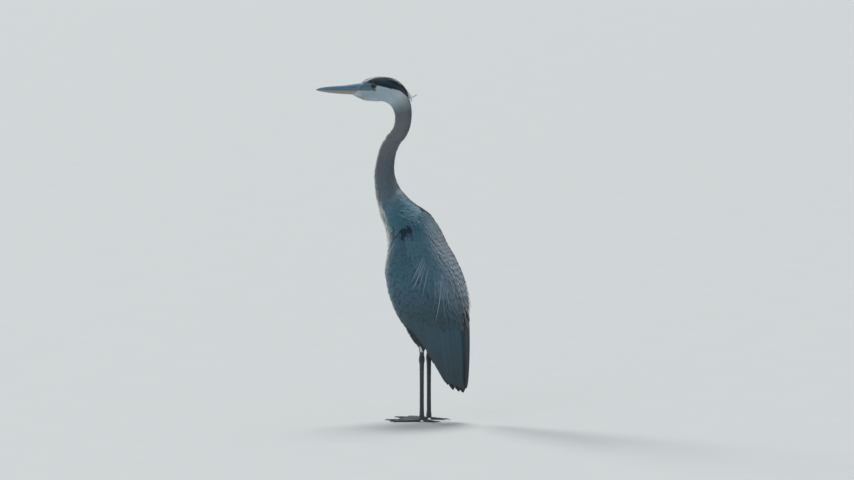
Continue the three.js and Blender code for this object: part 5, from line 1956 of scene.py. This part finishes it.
# ---------------------------------------------------------------- stage
class HeronStage(bpy.types.PropertyGroup):
    """Camera, lights and floor."""

    azimuth: number("Azimuth", radians(20), "Direction of the camera round the bird", subtype="ANGLE")
    elevation: number("Elevation", radians(5), "Height of the camera over the horizon", subtype="ANGLE")
    distance: metres("Distance", 20.638, "Distance of the camera")
    lens: number("Lens", 300, "Focal length in millimetres")
    aim_right: metres("Aim Right", 0.0058, "Middle of the picture, right of the bird")
    aim_up: metres("Aim Up", 0.5235, "Middle of the picture, above the floor")
    floor_radius: metres("Floor Radius", 80, "Reach of the floor")
    high_sun: number("High Sun", 3.2, "Strength of the light from high behind the bird")
    side_sun: number("Side Sun", 2.8, "Strength of the light from behind, left")
    fill: number("Fill Light", 0.25, "Strength of the soft light from the camera's side")
    sky: number("Sky Light", 0.5, "Strength of the even light all round")


SOFTNESS = 22  # degrees across each studio light
SUN_TINT, FILL_TINT, SKY_TINT = (1.0, 0.97, 0.92), (0.93, 0.97, 1.0), (0.76, 0.92, 1.0, 1)
SENSOR, SIGHT = 36, 400  # millimetres across the camera's sensor, and metres that it sees


def add_sun(name, towards, strength, tint):
    """A soft distant light that comes from a direction."""
    light = bpy.data.lights.new(name, "SUN")
    light.energy, light.angle, light.color = strength, radians(SOFTNESS), tint
    lamp = bpy.data.objects.new(name, light)
    bpy.context.scene.collection.objects.link(lamp)
    lamp.matrix_world = towards.to_track_quat("Z", "Y").to_matrix().to_4x4()


def build_stage():
    """Camera, floor, three lights and an even sky."""
    scene = bpy.context.scene
    stage = scene.heron_stage
    a, e = stage.azimuth, stage.elevation
    right = Vector((cos(a), sin(a), 0))
    up = Vector((-sin(a) * sin(e), cos(a) * sin(e), cos(e)))
    towards = Vector((sin(a) * cos(e), -cos(a) * cos(e), sin(e)))
    target = Vector((BIRD_X * MM, 0, 0)) + right * stage.aim_right + up * stage.aim_up
    camera = bpy.data.cameras.new("camera")
    camera.lens, camera.sensor_width, camera.clip_end = stage.lens, SENSOR, SIGHT
    view = bpy.data.objects.new("camera", camera)
    scene.collection.objects.link(view)
    axes = Matrix((right, up, towards)).transposed().to_4x4()
    view.matrix_world = Matrix.Translation(target + towards * stage.distance) @ axes
    scene.camera = view

    bm = bmesh.new()
    bmesh.ops.create_circle(bm, cap_ends=True, segments=96, radius=stage.floor_radius)
    floor = new_object("floor", mesh_of(bm, "floor", False))
    floor.data.materials.append(floor_material())

    level = Vector((-towards.x, -towards.y, 0)).normalized()
    high = Vector(UP)
    add_sun("sun_high", 0.55 * level + 0.1 * right + 1.4 * high, stage.high_sun, SUN_TINT)
    add_sun("sun_side", level - 0.95 * right + 0.75 * high, stage.side_sun, SUN_TINT)
    add_sun("fill", -level - 0.6 * right + 0.7 * high, stage.fill, FILL_TINT)
    world = bpy.data.worlds.new("studio")
    world.use_nodes = True
    background = world.node_tree.nodes["Background"]
    background.inputs["Color"].default_value = SKY_TINT
    background.inputs["Strength"].default_value = stage.sky
    scene.world = world
    scene.view_settings.view_transform = "Standard"


# ---------------------------------------------------------------- add-on
class HERON_OT_stage(bpy.types.Operator):
    """Make the floor, lights and camera"""

    bl_idname = "heron.stage"
    bl_label = "Stage"

    def execute(self, context):
        build_stage()
        return {"FINISHED"}


class HERON_OT_skin(bpy.types.Operator):
    """Make the one skin of head, neck, trunk, legs and toes"""

    bl_idname = "heron.skin"
    bl_label = "Skin"

    def execute(self, context):
        build_skin()
        return {"FINISHED"}


class HERON_OT_bill(bpy.types.Operator):
    """Make both halves of the bill"""

    bl_idname = "heron.bill"
    bl_label = "Bill"

    def execute(self, context):
        build_bill()
        return {"FINISHED"}


class HERON_OT_eyes(bpy.types.Operator):
    """Make the two eyes"""

    bl_idname = "heron.eyes"
    bl_label = "Eyes"

    def execute(self, context):
        build_eyes()
        return {"FINISHED"}


class HERON_OT_head_coat(bpy.types.Operator):
    """Lay the fine feathers of the head"""

    bl_idname = "heron.head_coat"
    bl_label = "Head Feathers"

    def execute(self, context):
        build_head_coat()
        return {"FINISHED"}


class HERON_OT_crown_plumes(bpy.types.Operator):
    """Lay the black plumes of the nape"""

    bl_idname = "heron.crown_plumes"
    bl_label = "Crown Plumes"

    def execute(self, context):
        build_crown_plumes()
        return {"FINISHED"}


class HERON_OT_neck_coat(bpy.types.Operator):
    """Lay the feathers of the neck"""

    bl_idname = "heron.neck_coat"
    bl_label = "Neck Feathers"

    def execute(self, context):
        build_neck_coat()
        return {"FINISHED"}


class HERON_OT_bib(bpy.types.Operator):
    """Hang the plumes of the lower foreneck"""

    bl_idname = "heron.bib"
    bl_label = "Neck Plumes"

    def execute(self, context):
        build_bib()
        return {"FINISHED"}


class HERON_OT_body_coat(bpy.types.Operator):
    """Lay the feathers of belly and thighs"""

    bl_idname = "heron.body_coat"
    bl_label = "Belly and Thighs"

    def execute(self, context):
        build_body_coat()
        return {"FINISHED"}


class HERON_OT_cape(bpy.types.Operator):
    """Lay the feathers of back and shoulders"""

    bl_idname = "heron.cape"
    bl_label = "Cape"

    def execute(self, context):
        build_cape()
        return {"FINISHED"}


class HERON_OT_wings(bpy.types.Operator):
    """Lay coverts, secondaries and primaries"""

    bl_idname = "heron.wings"
    bl_label = "Wings"

    def execute(self, context):
        build_wings()
        return {"FINISHED"}


class HERON_OT_tail(bpy.types.Operator):
    """Lay the tail feathers"""

    bl_idname = "heron.tail"
    bl_label = "Tail"

    def execute(self, context):
        build_tail()
        return {"FINISHED"}


class HERON_OT_vent(bpy.types.Operator):
    """Lay the feathers under the tail"""

    bl_idname = "heron.vent"
    bl_label = "Vent"

    def execute(self, context):
        build_vent()
        return {"FINISHED"}


class HERON_OT_scales(bpy.types.Operator):
    """Lay the scales of legs and toes"""

    bl_idname = "heron.scales"
    bl_label = "Scales"

    def execute(self, context):
        build_scales()
        return {"FINISHED"}


class HERON_OT_claws(bpy.types.Operator):
    """Make the claws"""

    bl_idname = "heron.claws"
    bl_label = "Claws"

    def execute(self, context):
        build_claws()
        return {"FINISHED"}


OPERATORS = (
    HERON_OT_stage, HERON_OT_skin, HERON_OT_bill, HERON_OT_eyes, HERON_OT_head_coat,
    HERON_OT_crown_plumes, HERON_OT_neck_coat, HERON_OT_bib, HERON_OT_body_coat, HERON_OT_cape,
    HERON_OT_wings, HERON_OT_tail, HERON_OT_vent, HERON_OT_scales, HERON_OT_claws,
)


class HERON_PT_build(bpy.types.Panel):
    """Lists the sizes, the colours and a button for each piece."""

    bl_idname = "HERON_PT_build"
    bl_label = "Great Blue Heron"
    bl_space_type = "VIEW_3D"
    bl_region_type = "UI"
    bl_category = "Heron"

    def draw(self, context):
        for group in (context.scene.heron_sizes, context.scene.heron_colours, context.scene.heron_stage):
            box = self.layout.box()
            for name in type(group).__annotations__:
                box.prop(group, name)
        for operator in OPERATORS:
            self.layout.operator(operator.bl_idname)


GROUPS = {"heron_sizes": HeronSizes, "heron_colours": HeronColours, "heron_stage": HeronStage}


def register():
    for kind in (*GROUPS.values(), *OPERATORS, HERON_PT_build):
        bpy.utils.register_class(kind)
    for name, kind in GROUPS.items():
        setattr(bpy.types.Scene, name, PointerProperty(type=kind))


def unregister():
    for name in GROUPS:
        delattr(bpy.types.Scene, name)
    for kind in reversed((*GROUPS.values(), *OPERATORS, HERON_PT_build)):
        bpy.utils.unregister_class(kind)


def main():
    register()
    for operator in OPERATORS:
        getattr(bpy.ops.heron, operator.bl_idname.split(".")[1])()


if __name__ == "__main__":
    main()
